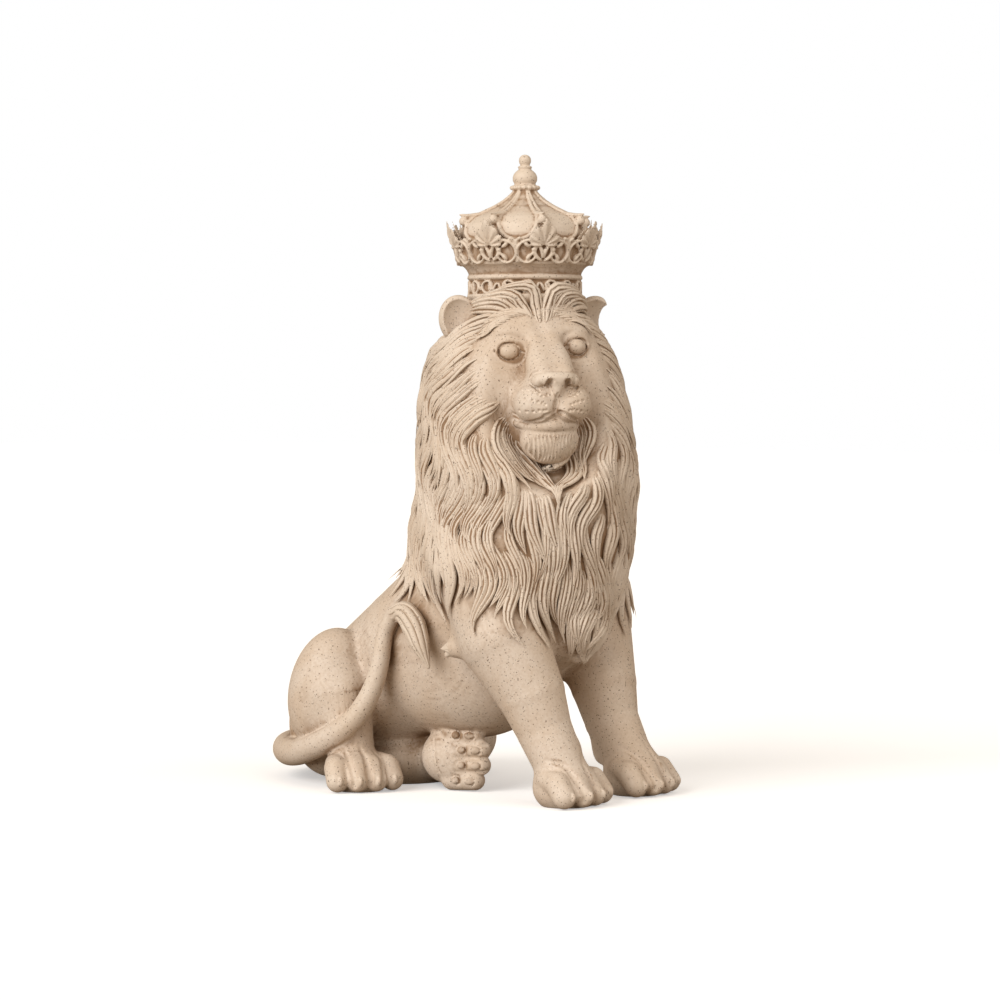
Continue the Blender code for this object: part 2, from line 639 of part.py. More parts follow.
def crown(bm):
    """The crown: a turned body, fan leaves and scrolls on its rim, a panelled dome, and relief on its band."""
    profile = [bm.verts.new((NECK[0] + r, NECK[1], z)) for r, z in crown_profile()]
    edges = [bm.edges.new(pair) for pair in zip(profile, profile[1:])]
    bmesh.ops.spin(bm, geom=profile + edges, cent=tuple(NECK), axis=(0, 0, 1), angle=2 * math.pi, steps=48)
    bmesh.ops.remove_doubles(bm, verts=bm.verts, dist=1e-3)
    bmesh.ops.recalc_face_normals(bm, faces=bm.faces)
    rim = CROWN_RIM_RADIUS / FIGURE
    band = CROWN_BAND_RADIUS / FIGURE
    lean = math.atan2(2.5, 9)
    reach = math.pi * (rim - 1.5) / CROWN_LEAVES
    for k in range(CROWN_LEAVES):
        angle = 2 * math.pi * k / CROWN_LEAVES
        leaf = crown_place(angle, rim - 2.6, 229.5, lean)
        for fan, length in ((-66, 6.0), (-44, 7.8), (-22, 9.6), (0, 11.6), (22, 9.6), (44, 7.8), (66, 6.0)):
            a = math.radians(fan)
            way = [(math.sin(a) * length * i / 5, math.cos(a) * length * i / 5) for i in range(6)]
            crown_strand(bm, leaf, way, [0, 1.1, 1.5, 1.8, 1.6, 0], [0, 1.5, 1.7, 1.8, 1.5, 0])
        for side in (-1, 1):
            foot = crown_place(angle, rim - 3.0, 228.6, lean)
            way = [(side * 1.2 + x, z) for x, z in scroll(side, reach * 0.93, 9.0)]
            crown_strand(bm, foot, way, [1.0] * 15, [1.7] * 15)
        turn, origin = crown_place(angle, 0, 0)
        point = [origin + turn @ np.array((0, r, z)) for r, z in ((16.5, 246.0), (22, 244.4), (27.2, 243.8))]
        Bar(point, [1.2, 1.7, 1.0]).build(bm)
        Ball(origin + turn @ np.array((0, 26.4, 241.4)), (1.9, 1.9, 1.9)).build(bm)
        edge = smooth_path(petal_edge(angle + math.pi / CROWN_LEAVES), [0.9] * 25, 1)
        Bar(*edge).build(bm)
    for k in range(2 * CROWN_LEAVES):
        place = crown_place(2 * math.pi * (k + 0.5) / (2 * CROWN_LEAVES), band - 0.2, 214.2)
        flip = 1 if k % 2 else -1
        wind = [(flip * (x - 3.2), flip * z) for x, z in scroll(1, 6.6, 4.6)]
        crown_strand(bm, place, wind, [0.7] * 15, [1.2] * 15)


def finish(obj, head):
    """Fewer triangles, a flat underside, and the origin under the middle of the box."""
    plain = obj.vertex_groups.new(name="plain")
    points = vertex_array(obj) / FIGURE
    place = head.local(points)
    in_face = (place[:, 1] > 12) & (np.abs(place[:, 0]) < 24) & (points[:, 2] > 139) & (points[:, 2] < 203)
    in_crown = points[:, 2] > 221
    rest = ~in_face & ~in_crown
    for chosen, weight in ((in_face, FACE_WEIGHT), (in_crown, CROWN_WEIGHT), (rest, 1.0)):
        plain.add(np.flatnonzero(chosen).tolist(), weight, "REPLACE")
    lower = obj.modifiers.new("Reduce", "DECIMATE")
    lower.ratio = min(1.0, SOLID_TRIANGLES / sum(len(p.vertices) - 2 for p in obj.data.polygons))
    lower.vertex_group = plain.name
    lower.vertex_group_factor = 1.0
    apply_modifiers(obj)
    obj.vertex_groups.clear()
    points = vertex_array(obj)
    points[:, 2] = np.where(points[:, 2] < 0.45 * FIGURE, 0.0, points[:, 2])
    middle = (points.min(axis=0) + points.max(axis=0)) / 2
    points[:, :2] -= middle[:2]
    points[:, 2] *= HEIGHT / points[:, 2].max()
    obj.data.vertices.foreach_set("co", points.ravel())
    obj.data.update()
    for polygon in obj.data.polygons:
        polygon.use_smooth = True


def main():
    for old in list(bpy.data.objects):
        bpy.data.objects.remove(old)
    clay, head = figure(GRAIN)
    lion = clay.modelled("lion")
    carving = bmesh.new()
    mane(carving, clay, head)
    crown(carving)
    bmesh.ops.scale(carving, vec=(FIGURE, FIGURE, FIGURE), verts=carving.verts)
    carving.from_mesh(lion.data)
    carving.to_mesh(lion.data)
    carving.free()
    fuse(lion, FINE_GRAIN)
    finish(lion, head)
    resin = bpy.data.materials.new("cast_resin")
    resin.use_nodes = True
    shader = resin.node_tree.nodes["Principled BSDF"]
    shader.inputs["Base Color"].default_value = RESIN_COLOUR
    shader.inputs["Roughness"].default_value = RESIN_ROUGHNESS
    shader.inputs["Metallic"].default_value = 0.0
    lion.data.materials.clear()
    lion.data.materials.append(resin)


main()
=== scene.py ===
"""The look of the crowned lion: a fine cast skin, carved locks, an ornate crown, and a soft studio."""

import math

import bmesh
import bpy
import numpy as np
import openvdb
from mathutils import Euler, Matrix, Vector


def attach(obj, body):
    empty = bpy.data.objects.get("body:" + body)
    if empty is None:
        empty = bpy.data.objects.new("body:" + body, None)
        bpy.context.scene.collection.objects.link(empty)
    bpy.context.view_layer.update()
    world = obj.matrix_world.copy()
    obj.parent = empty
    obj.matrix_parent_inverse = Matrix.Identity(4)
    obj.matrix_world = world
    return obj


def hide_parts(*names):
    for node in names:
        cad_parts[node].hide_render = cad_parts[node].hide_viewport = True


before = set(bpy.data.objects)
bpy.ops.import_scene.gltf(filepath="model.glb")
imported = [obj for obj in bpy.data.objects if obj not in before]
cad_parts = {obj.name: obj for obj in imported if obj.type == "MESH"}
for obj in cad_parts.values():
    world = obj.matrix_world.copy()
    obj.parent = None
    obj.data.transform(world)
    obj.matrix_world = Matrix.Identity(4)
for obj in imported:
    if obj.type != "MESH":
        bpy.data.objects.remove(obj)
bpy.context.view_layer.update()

# The figure is described in its own millimetres, and stands in the frame at this offset
FIGURE = 0.001
OFFSET = np.array((-0.0054, 0.0076, 0.0))
NECK = np.array((0.0, -46.6, 0.0))
HEAD_TURN = math.radians(-37)
FAR = 30.0

# How finely each part is modelled, and its most triangles
GUIDE_GRAIN = 1.3
BODY_GRAIN = 0.54
HEAD_GRAIN = 0.38
CROWN_GRAIN = 0.34
BODY_TRIANGLES = 190000
HEAD_TRIANGLES = 150000
CROWN_TRIANGLES = 140000

# Space for the body and for the head, in figure millimetres
BODY_LOW = (-66.0, -112.0, -4.0)
BODY_HIGH = (76.0, 102.0, 216.0)
HEAD_LOW = (-64.0, -110.0, 134.0)
HEAD_HIGH = (24.0, -14.0, 216.0)

# The mane: rows of locks, and finer strands that lie over them
LOCK_ROWS = 13
LOCK_SPACING = 5.9
LOCK_STATIONS = 13
STRAND_ROWS = 12
STRAND_SPACING = 6.5
STRAND_STATIONS = 10
LOCK_LENGTHS = (24, 40)
LOCK_HALF_WIDTHS = (2.2, 3.3)
LOCK_RISE = (-0.8, 1.0)
STRAND_LENGTHS = (18, 32)
STRAND_HALF_WIDTHS = (0.75, 1.25)
STRAND_RISE = (0.2, 1.9)
MANE_MIDDLE = 141.0
ROOT_SEED = 5
LOCK_SEED = 7
STRAND_SEED = 11

# Fine strands keep off the chin: those on the face's side start above this height
CHEEK_LEVEL = 162
CHEEK_FRONT = 18

# The way from the figure to the camera, on the ground
VIEWER = (-0.79, -0.61, 0.0)

# The distance between two toes, as a share of the paw's width
TOE_PITCH = 0.262

# The crown, in figure millimetres
BAND_RADIUS = 23.1
BAND_MIDDLE = 214.0
WALL_RADIUS = 29.0
SCROLL_MIDDLE = 228.4
SCROLL_HEIGHT = 9.4
LEAF_FOOT = 231.0
LEAF_FLUTES = 12
CROWN_LEAVES = 8
COLLAR_BEADS = 16

# The studio
AMBIENT = 0.41
AMBIENT_COLOUR = (1.0, 0.86, 0.70, 1.0)
FLOOR_GLOW = 0.38
FLOOR_WHITE = (0.92, 0.92, 0.92, 1.0)
FLOOR_BOUNCE = (0.30, 0.24, 0.18, 1.0)
FLOOR_SIZE = 6.0

# Each light's direction, spread in degrees, strength and colour
KEY_LIGHT = ((-0.90, 0.07, 0.36), 50, 2.9, (1.0, 0.985, 0.965))
FILL_LIGHT = ((0.05, -0.93, 0.36), 70, 1.15, (1.0, 0.95, 0.9))

# The camera, at the photograph's place and angle
CAMERA_PLACE = (-1.151, -0.933, 0.175)
CAMERA_AIM = (0.788, 0.616, -0.03493)
SENSOR = 36.0
LENS = 123.66

# Painted shade where the pieces crowd together is found in cells of a size in metres, out to a number of
# cells
NEAR_SHADE_CELLS = (0.0007, 3)
WIDE_SHADE_CELLS = (0.0014, 4)

# The brown wash in the hollows and the painted shade on each piece: rounds of smoothing, the depth that is
# darkest in metres, and its weight
WASH_AND_SHADE = {
    "lion_body": (8, 0.0003, 0.4),
    "lion_head": (6, 0.00015, 0.42),
    "lion_mane_upper": (3, 0.00016, 0.5),
    "lion_mane_lower": (3, 0.00016, 0.5),
    "lion_mane_strands": (2, 0.0004, 0.25),
    "lion_crown": (8, 0.00025, 0.4),
}

# The resin's colours; the hollow brown is a brown wash with painted shade, and the pale ridge colour is
# paler resin with painted light
SAND_LIGHT = (0.66, 0.56, 0.465, 1.0)
SAND_WARM = (0.61, 0.49, 0.38, 1.0)
SAND_TAN = (0.49, 0.36, 0.25, 1.0)
# Paler resin and painted light on open, raised parts
PALE_AND_LIT_RIDGE = (0.72, 0.62, 0.51, 1.0)
# A brown wash with painted shade, for the hollows and crowded places
WASH_AND_SHADE_BROWN = (0.27, 0.16, 0.085, 1.0)
SPECK_BROWN = (0.12, 0.07, 0.04, 1.0)


def smooth_min(a, b, blend):
    """The lower of two distances, with a fillet of about the blend's size where they meet."""
    near = np.clip(blend - np.abs(a - b), 0, None) / blend
    return np.minimum(a, b) - near * near * blend * 0.25


def turn_z(angle):
    return np.array(Matrix.Rotation(angle, 3, "Z"))


def turn_by(*degrees):
    return np.array(Euler([math.radians(d) for d in degrees]).to_matrix())


class Ball:
    """An ellipsoid."""

    def __init__(self, centre, radii, axes=None):
        self.centre = np.array(centre, float)
        self.radii = np.array(radii, float)
        self.axes = np.eye(3) if axes is None else np.array(axes, float)
        reach = np.sqrt(((self.axes * self.radii) ** 2).sum(axis=1))
        self.low = self.centre - reach
        self.high = self.centre + reach

    def distance(self, x, y, z):
        p = (x - self.centre[0], y - self.centre[1], z - self.centre[2])
        own = [sum(self.axes[j, i] * p[j] for j in range(3)) for i in range(3)]
        near = np.sqrt(sum((own[i] / self.radii[i]) ** 2 for i in range(3)))
        steep = np.sqrt(sum((own[i] / self.radii[i] ** 2) ** 2 for i in range(3)))
        return near * (near - 1) / np.maximum(steep, 1e-6)


class Bar:
    """A round bar that runs through points, with a radius at each."""

    def __init__(self, points, radii):
        self.points = np.array(points, float)
        self.radii = np.array(radii, float)
        self.low = (self.points - self.radii[:, None]).min(axis=0)
        self.high = (self.points + self.radii[:, None]).max(axis=0)

    def distance(self, x, y, z):
        nearest = None
        for i in range(len(self.points) - 1):
            start = self.points[i]
            along = self.points[i + 1] - start
            p = (x - start[0], y - start[1], z - start[2])
            t = np.clip(sum(p[j] * along[j] for j in range(3)) / max(float(along @ along), 1e-9), 0, 1)
            off = np.sqrt(sum((p[j] - along[j] * t) ** 2 for j in range(3)))
            off = off - (self.radii[i] + (self.radii[i + 1] - self.radii[i]) * t)
            nearest = off if nearest is None else np.minimum(nearest, off)
        return nearest


def smooth_path(points, radii, per_span=6):
    """A soft curve through the points, with the radii that go with it."""
    points = np.array(points, float)
    radii = np.array(radii, float)
    padded = np.vstack((2 * points[0] - points[1], points, 2 * points[-1] - points[-2]))
    curve = []
    sizes = []
    for i in range(len(points) - 1):
        a, b, c, d = padded[i:i + 4]
        for step in range(per_span):
            t = step / per_span
            bend = (2 * a - 5 * b + 4 * c - d) * t * t + (3 * b - a - 3 * c + d) * t ** 3
            curve.append(0.5 * (2 * b + (c - a) * t + bend))
            sizes.append(radii[i] + (radii[i + 1] - radii[i]) * t)
    curve.append(points[-1])
    sizes.append(radii[-1])
    return np.array(curve), np.array(sizes)


class Clay:
    """A block of space that holds the distance to the blended surface, below zero inside the figure."""

    def __init__(self, low, high, grain):
        self.low = np.array(low, float)
        self.grain = grain
        self.axes = [np.arange(a, b, grain, dtype=np.float32) for a, b in zip(low, high)]
        self.depth = np.full([len(axis) for axis in self.axes], FAR, np.float32)

    def window(self, shape, margin):
        """The part of the grid around a shape, and its coordinates. It may be empty."""
        slices = []
        for axis, a, b in zip(self.axes, shape.low, shape.high):
            slices.append(slice(int(np.searchsorted(axis, a - margin)),
                                int(np.searchsorted(axis, b + margin))))
        x, y, z = (axis[s].astype(np.float32) for axis, s in zip(self.axes, slices))
        return tuple(slices), (x[:, None, None], y[None, :, None], z[None, None, :])

    def add(self, shape, blend=0.5):
        part, grid = self.window(shape, blend + 3)
        if all(s.stop > s.start for s in part):
            self.depth[part] = smooth_min(self.depth[part], shape.distance(*grid), blend)

    def cut(self, shape, blend=0.5):
        part, grid = self.window(shape, blend + 3)
        if all(s.stop > s.start for s in part):
            self.depth[part] = -smooth_min(-self.depth[part], shape.distance(*grid), blend)

    def keep(self, shape, margin=0.0):
        """Keeps only what lies inside the shape."""
        self.depth = np.maximum(self.depth, shape.distance(*self.grid()) - margin)

    def leave(self, shape, margin=0.0):
        """Takes out all that lies inside the shape, but for a margin."""
        self.depth = np.maximum(self.depth, -shape.distance(*self.grid()) - margin)

    def grid(self):
        x, y, z = self.axes
        return x[:, None, None], y[None, :, None], z[None, None, :]

    def level(self, height):
        """Cuts the figure off flat, so that it stands."""
        self.depth = np.maximum(self.depth, height - self.axes[2][None, None, :])

    def sample(self, points):
        """The distance at any points, read between the grid points."""
        at = np.clip((points - self.low) / self.grain, 0, np.array(self.depth.shape) - 1.001)
        base = at.astype(int)
        t = at - base
        value = np.zeros(len(points))
        for corner in np.ndindex(2, 2, 2):
            weight = np.prod(np.where(corner, t, 1 - t), axis=1)
            i, j, k = (base + corner).T
            value += weight * self.depth[i, j, k]
        return value

    def slope(self, points):
        """The outward direction at any points."""
        steps = np.eye(3) * 1.3
        rise = np.stack([self.sample(points + s) - self.sample(points - s) for s in steps], axis=1)
        return rise / np.maximum(np.linalg.norm(rise, axis=1, keepdims=True), 1e-9)

    def settled(self, points, height=0.0, rounds=3):
        """The points moved onto the surface, or onto a height above it."""
        for _ in range(rounds):
            points = points - (self.sample(points) - height)[:, None] * self.slope(points)
        return points

    def piece(self, name, triangles):
        """The surface as a closed object with no more than so many triangles."""
        for side in (self.depth[:1], self.depth[-1:], self.depth[:, :1], self.depth[:, -1:],
                     self.depth[:, :, :1], self.depth[:, :, -1:]):
            np.maximum(side, 0.5, out=side)
        grid = openvdb.FloatGrid(FAR)
        grid.copyFromArray(self.depth)
        points, quads = grid.convertToQuads(isovalue=0.0)
        points = points * self.grain + self.low
        obj = mesh_piece(name, points, quads[:, ::-1])
        reduce_to(obj, triangles)
        return obj


def in_frame(points):
    return np.asarray(points) * FIGURE + OFFSET


def mesh_piece(name, points, faces):
    """Points in figure millimetres and their faces, as an object in the frame."""
    mesh = bpy.data.meshes.new(name)
    mesh.from_pydata(in_frame(points).tolist(), [], [tuple(f) for f in faces.tolist()])
    mesh.update()
    obj = bpy.data.objects.new(name, mesh)
    bpy.context.scene.collection.objects.link(obj)
    return obj


def apply_modifiers(obj):
    """Replaces the object's mesh with what its modifiers make of it."""
    evaluated = obj.evaluated_get(bpy.context.evaluated_depsgraph_get())
    shaped = bpy.data.meshes.new_from_object(evaluated)
    obj.modifiers.clear()
    rough = obj.data
    obj.data = shaped
    bpy.data.meshes.remove(rough)


def triangle_count(obj):
    return sum(len(p.vertices) - 2 for p in obj.data.polygons)


def reduce_to(obj, triangles):
    lower = obj.modifiers.new("Reduce", "DECIMATE")
    lower.ratio = min(1.0, triangles / max(1, triangle_count(obj)))
    apply_modifiers(obj)


def read_vectors(collection, name):
    flat = np.empty(len(collection) * 3)
    collection.foreach_get(name, flat)
    return flat.reshape(-1, 3)


def mark_wash_and_shade(obj, near, wide, rounds, depth, fine):
    """Stores how deep and how crowded each point lies, for a brown wash with painted shade there, and
    painted light where it is open.
    """
    mesh = obj.data
    points = read_vectors(mesh.vertices, "co")
    normals = read_vectors(mesh.vertices, "normal")
    pairs = np.empty(len(mesh.edges) * 2, dtype=np.int64)
    mesh.edges.foreach_get("vertices", pairs)
    a, b = pairs.reshape(-1, 2).T
    count = len(points)
    degree = np.maximum(np.bincount(np.concatenate((a, b)), minlength=count), 1)
    around_point = points.copy()
    for _ in range(rounds):
        total = np.stack([np.bincount(a, around_point[b, i], count) + np.bincount(b, around_point[a, i],
                                                                                  count)
                          for i in range(3)], axis=1)
        around_point = 0.5 * around_point + 0.5 * total / degree[:, None]
    below = np.clip(((around_point - points) * normals).sum(axis=1) / depth, -1, 1)
    # Deep or crowded points get the brown wash and painted shade; raised, open points get painted light
    value = 0.5 + fine * below + 0.8 * (near(points) - 0.5) + 0.9 * (wide(points) - 0.5)
    wash_and_shade_layer = mesh.attributes.new("wash_and_shade", "FLOAT", "POINT")
    wash_and_shade_layer.data.foreach_set("value", np.clip(value, 0, 1).astype(np.float32))


def crowding_for_shade(pieces, cell, reach):
    """How much of the space close to any point is filled by the pieces, from none to all; it places painted
    shade where parts crowd.
    """
    points = []
    triangles = []
    start = 0
    for piece in pieces:
        mesh = piece.data
        mesh.calc_loop_triangles()
        corners = np.empty(len(mesh.loop_triangles) * 3, dtype=np.int32)
        mesh.loop_triangles.foreach_get("vertices", corners)
        points.append(read_vectors(mesh.vertices, "co"))
        triangles.append(corners.reshape(-1, 3) + start)
        start += len(points[-1])
    points = np.concatenate(points)
    low = points.min(axis=0) - 8 * cell
    size = np.ceil((points.max(axis=0) - low) / cell).astype(int) + 9
    grid = openvdb.FloatGrid.createLevelSetFromPolygons(
        ((points - low) / cell).astype(np.float32), triangles=np.concatenate(triangles).astype(np.uint32))
    depth = np.full(size, 3.0, np.float32)
    grid.copyToArray(depth)
    filled = np.clip(0.5 - depth, 0, 1)
    for axis in (0, 1, 2):
        for _ in range(2):
            total = np.cumsum(filled, axis=axis, dtype=np.float32 if axis else np.float64)
            ahead = np.roll(total, -reach, axis=axis)
            behind = np.roll(total, reach + 1, axis=axis)
            filled = ((ahead - behind) / (2 * reach + 1)).astype(np.float32)

    def crowded(at):
        place = np.clip(((at - low) / cell).round().astype(int), 0, size - 1)
        return filled[place[:, 0], place[:, 1], place[:, 2]]

    return crowded


class HeadFrame:
    """Places the head: side is towards the lion's left, front is along its gaze, and up is the height."""

    def __init__(self, turn):
        self.axes = turn_z(turn)

    def at(self, side, front, up):
        return NECK + self.axes @ np.array((side, -front, 0.0)) + np.array((0.0, 0.0, up))

    def ball(self, centre, radii, tilt=(0, 0, 0)):
        """An ellipsoid with its radii sideways, forwards and upwards, and a tilt in the head's frame."""
        return Ball(self.at(*centre), radii, self.axes @ turn_by(*tilt))

    def bar(self, points, radii):
        return Bar([self.at(*p) for p in points], radii)

    def local(self, points):
        """Points as side, front and up."""
        return (points - NECK) @ self.axes * np.array((1, -1, 1))


HEAD = HeadFrame(HEAD_TURN)

# The room that the finely modelled head takes out of the mane's mass
HEAD_ROOM = HEAD.ball((0, 22, 172), (35, 36, 39))


def body(clay):
    """The barrel of the body, the chest and the hips."""
    spine = [(0, -45, 92), (0, 6, 57), (4, 36, 40), (10, 54, 29)]
    clay.add(Bar(spine, [36, 32.5, 29.5, 25.5]), blend=8)
    clay.add(Ball((0, -49, 92), (35, 33, 42)), blend=12)
    clay.add(Ball((17, 55, 23.5), (31.5, 25, 27.5), turn_by(-6, 0, 0)), blend=12)
    clay.add(Ball((0, -24, 48.5), (29, 33, 26), turn_by(-14, 0, 0)), blend=12)


def mane_form(clay):
    """The mass of the mane, which the locks lie on."""
    clay.add(Ball((0, -45, 166), (40, 41, 43)), blend=10)
    clay.add(Ball((0.5, -47.5, 133), (43, 45, 50)), blend=12)
    clay.add(Ball((0, -46, 106), (41.5, 42, 34)), blend=10)
    clay.add(Ball((2, -17, 109), (24, 22, 26), turn_by(-30, 0, 0)), blend=12)
    clay.add(Bar([(-1, -58, 96), (-2, -70, 72), (-3, -77, 60)], [30, 15, 3.5]), blend=8)
    clay.cut(HEAD.ball((0, 43, 171), (32, 19, 42)), blend=4)


def front_legs(clay):
    """The shoulder, upper arm and forearm of each side."""
    radii = [21, 18.5, 14.2, 11.6, 10.6, 10.6]
    right = [(-29, -48, 98), (-33, -60, 69), (-29, -72, 46), (-27, -77.5, 31), (-26, -84, 18),
             (-26, -87, 11)]
    left = [(29, -47, 96), (31, -57, 70), (27, -68, 46), (26, -73, 31), (25, -81, 18), (25, -86, 11)]
    for leg in (right, left):
        clay.add(Bar(leg, radii), blend=6)
    clay.add(Bar([(-33, -48, 72), (-41, -42, 64), (-43, -39, 61)], [11, 4.2, 1.2]), blend=5)
    clay.add(Bar([(33, -46, 72), (40, -39, 64), (41, -36, 61)], [11, 4.2, 1.2]), blend=5)
    clay.add(Ball((-18.5, -84.5, 21), (4.5, 4.5, 7)), blend=3)
    clay.add(Ball((22, -71, 19), (4, 4, 7)), blend=3)


def paw(clay, centre, heading, width=33.0):
    """A broad paw with four toes, flat underneath. The centre is under the ankle."""
    turn = turn_z(math.radians(heading))
    origin = np.array(centre, float)

    def at(side, front, up):
        return origin + turn @ np.array((side, -front, 0.0)) + np.array((0, 0, up))

    clay.add(Ball(at(0, 2.5, 7.2), (width * 0.44, 13.5, 10.5), turn), blend=4)
    toes = ((-1.5, -2.6), (-0.5, 0.0), (0.5, 0.0), (1.5, -2.6))
    for side, reach in toes:
        place = side * width * TOE_PITCH
        toe = [at(place * 0.80, 3 + reach, 11.4), at(place * 0.94, 9.5 + reach, 10.2),
               at(place, 13.6 + reach, 5.2)]
        clay.add(Bar(toe, [4.5, 5.2, 4.8]), blend=0.8)
    for side in (-1, 0, 1):
        place = side * width * TOE_PITCH
        seam = [at(place * 0.7, -1, 20), at(place * 0.82, 6, 17), at(place * 0.94, 12, 14),
                at(place, 19, 8),
                at(place, 19, 2)]
        seam = clay.settled(np.array(seam), height=0.25, rounds=5)
        clay.cut(Bar(*smooth_path(seam, [0.3, 1.0, 1.35, 1.4, 1.2], 4)), blend=0.5)
    for side, reach in toes:
        place = side * width * TOE_PITCH
        clay.cut(Ball(at(place, 18.5 + reach, 5.6), (1.8, 1.0, 2.8), turn), blend=0.3)
        clay.add(Ball(at(place, 17.9 + reach, 5.4), (1.1, 1.5, 2.1), turn), blend=0.2)
        clay.cut(Bar([at(place - 2.2, 13.4 + reach, 14.6), at(place + 2.2, 13.4 + reach, 14.6)],
                     [0.5, 0.5]), blend=0.4)


def hind_legs(clay):
    """The raised right thigh with its shank, and the left leg that lies folded on the ground."""
    clay.add(Ball((-12, 50, 25), (20, 19, 24)), blend=6)
    clay.add(Ball((-27.5, 38, 40.5), (19, 18, 28), turn_by(13, 0, 0)), blend=2.6)
    clay.add(Bar([(-32, 28, 40), (-32, 24, 20), (-33, 21, 10)], [13, 10.5, 10]), blend=4)
    clay.add(Bar([(22, 50, 26), (46, 30, 20), (46, 18, 16)], [25, 17, 10.5]), blend=7)
    clay.add(Bar([(43, 20, 10.5), (24, 8, 9), (4, -2, 11)], [9.5, 8.5, 9]), blend=5)
    clay.add(Ball((10, 22, 9), (27, 20, 16)), blend=4)


def folded_foot(clay):
    """The left hind foot, which comes out under the belly on its side and shows its sole."""
    clay.add(Bar([(2, 0, 11), (-8, -12, 14)], [9, 12]), blend=4)
    clay.add(Ball((-9, -19, 14.0), (9, 9.5, 14.0)), blend=3)
    outward = np.array(VIEWER)
    toes = ((4.9, -2.2), (11.5, 1.0), (18.1, 1.0), (24.2, -2.2))
    for level, reach in toes:
        toe = [(-12, -19 - reach, level), (-10.5, -30.2 - reach, level)]
        clay.add(Bar(toe, [4.8, 4.3]), blend=0.7)
    clay.add(Ball((-16, -14, 14.5), (3, 5, 8)), blend=1.0)
    for level in (8.2, 14.8, 21.2):
        seam = [(-17.5, -22, level), (-17, -27, level), (-14.5, -33, level), (-10, -37, level)]
        clay.cut(Bar(clay.settled(np.array(seam, float), height=0.2), [0.4, 0.8, 0.9, 0.8]), blend=0.8)
    sole = clay.settled(np.array([(-17, -10, 23.0), (-20, -12.5, 18), (-21, -13.5, 13), (-19, -15, 5)]),
                        rounds=5)
    clay.cut(Bar(*smooth_path(sole, [0.3, 0.6, 0.6, 0.3])), blend=0.3)
    flat = turn_z(math.atan2(-0.79, 0.61))
    for level, reach in toes:
        for base, long in (((-11.1, -26.8 - reach, level), 2.3), ((-12, -20.4 - reach, level), 1.8)):
            spot = clay.settled((np.array(base) + outward * 6)[None], rounds=6)[0]
            clay.cut(Ball(spot, (long + 0.9, 0.8, 2.4), flat), blend=0.5)
            clay.add(Ball(spot, (long, 0.9, 1.6), flat), blend=0.4)


def tail(clay):
    """The tail lies round the hip on the ground and rises along the flank to a tuft that turns over."""
    path = [(20, 81, 14), (4, 83.4, 12.4), (-12, 76.5, 12.4), (-26, 63, 12.6), (-36, 47.5, 14.6),
            (-41.5, 33, 19)]
    path += [(-42.5, 21, 25), (-41, 11, 33.5), (-39, 4.5, 45), (-37.5, 1.5, 57), (-36, 0.5, 68),
             (-35.5, -4, 76)]
    radii = [7.2, 7.0, 6.7, 6.3, 5.8, 5.4, 5.0, 4.6, 4.2, 3.8, 3.5, 3.4]
    clay.add(Bar(*smooth_path(path, radii)), blend=0.6)
    clay.add(Bar(*smooth_path(TUFT, TUFT_RADII)), blend=0.8)


TUFT = [(-35.5, -4, 76), (-37, -11, 77), (-39.5, -18, 72), (-41, -23, 64), (-40.5, -27, 55)]
TUFT_RADII = [3.5, 4.2, 4.6, 3.4, 0.8]


def face(clay):
    """Skull, cheeks, nose, muzzle and chin, with the eyes and the mouth cut in."""
    head = HEAD
    clay.add(head.ball((0, 2, 185), (28, 27, 27)), blend=3)
    clay.add(head.ball((0, 14, 187), (25, 16.5, 21)), blend=5)
    clay.add(head.ball((0, 34, 167), (14.5, 17, 12)), blend=6)
    clay.add(head.ball((0, 22, 160), (16, 17, 15)), blend=6)
    for side in (-1, 1):
        clay.add(head.bar([(side * 3.0, 25.5, 190.5), (side * 4.0, 43.0, 176.3)], [6.8, 5.6]), blend=4)
        clay.add(head.ball((side * 16.5, 16, 172), (13, 15, 18)), blend=6)
        clay.add(head.ball((side * 12.0, 25.0, 194.6), (7.5, 3.8, 3.0)), blend=4)
        clay.add(head.ball((side * 7.3, 42.6, 165.2), (8.8, 9.4, 8.4)), blend=1.2)
        clay.add(head.ball((side * 5.0 - 0.8, 45.2, 162.8), (5.3, 7.2, 5.6)), blend=1.5)
    clay.add(head.ball((0, 37.5, 150.5), (12.2, 11, 10.2)), blend=3)
    lip = [(-12.5, 33, 157.2), (-8, 43.0, 155.9), (-0.8, 47.0, 156.6), (8, 43.0, 155.9), (12.5, 33, 157.2)]
    clay.add(head.bar(*smooth_path(lip, [1.6, 2.2, 3.0, 2.2, 1.6])), blend=0.8)
    nose(clay)
    mouth(clay)
    beard(clay)
    for side in (-1, 1):
        eye(clay, side)
    line = clay.settled(np.array([head.at(-2.4, 30, 202), head.at(-1.8, 32, 197), head.at(-1.2, 33, 192)]),
                        height=2.4)
    clay.cut(Bar(line, [2.4, 2.4, 2.0]), blend=3.0)


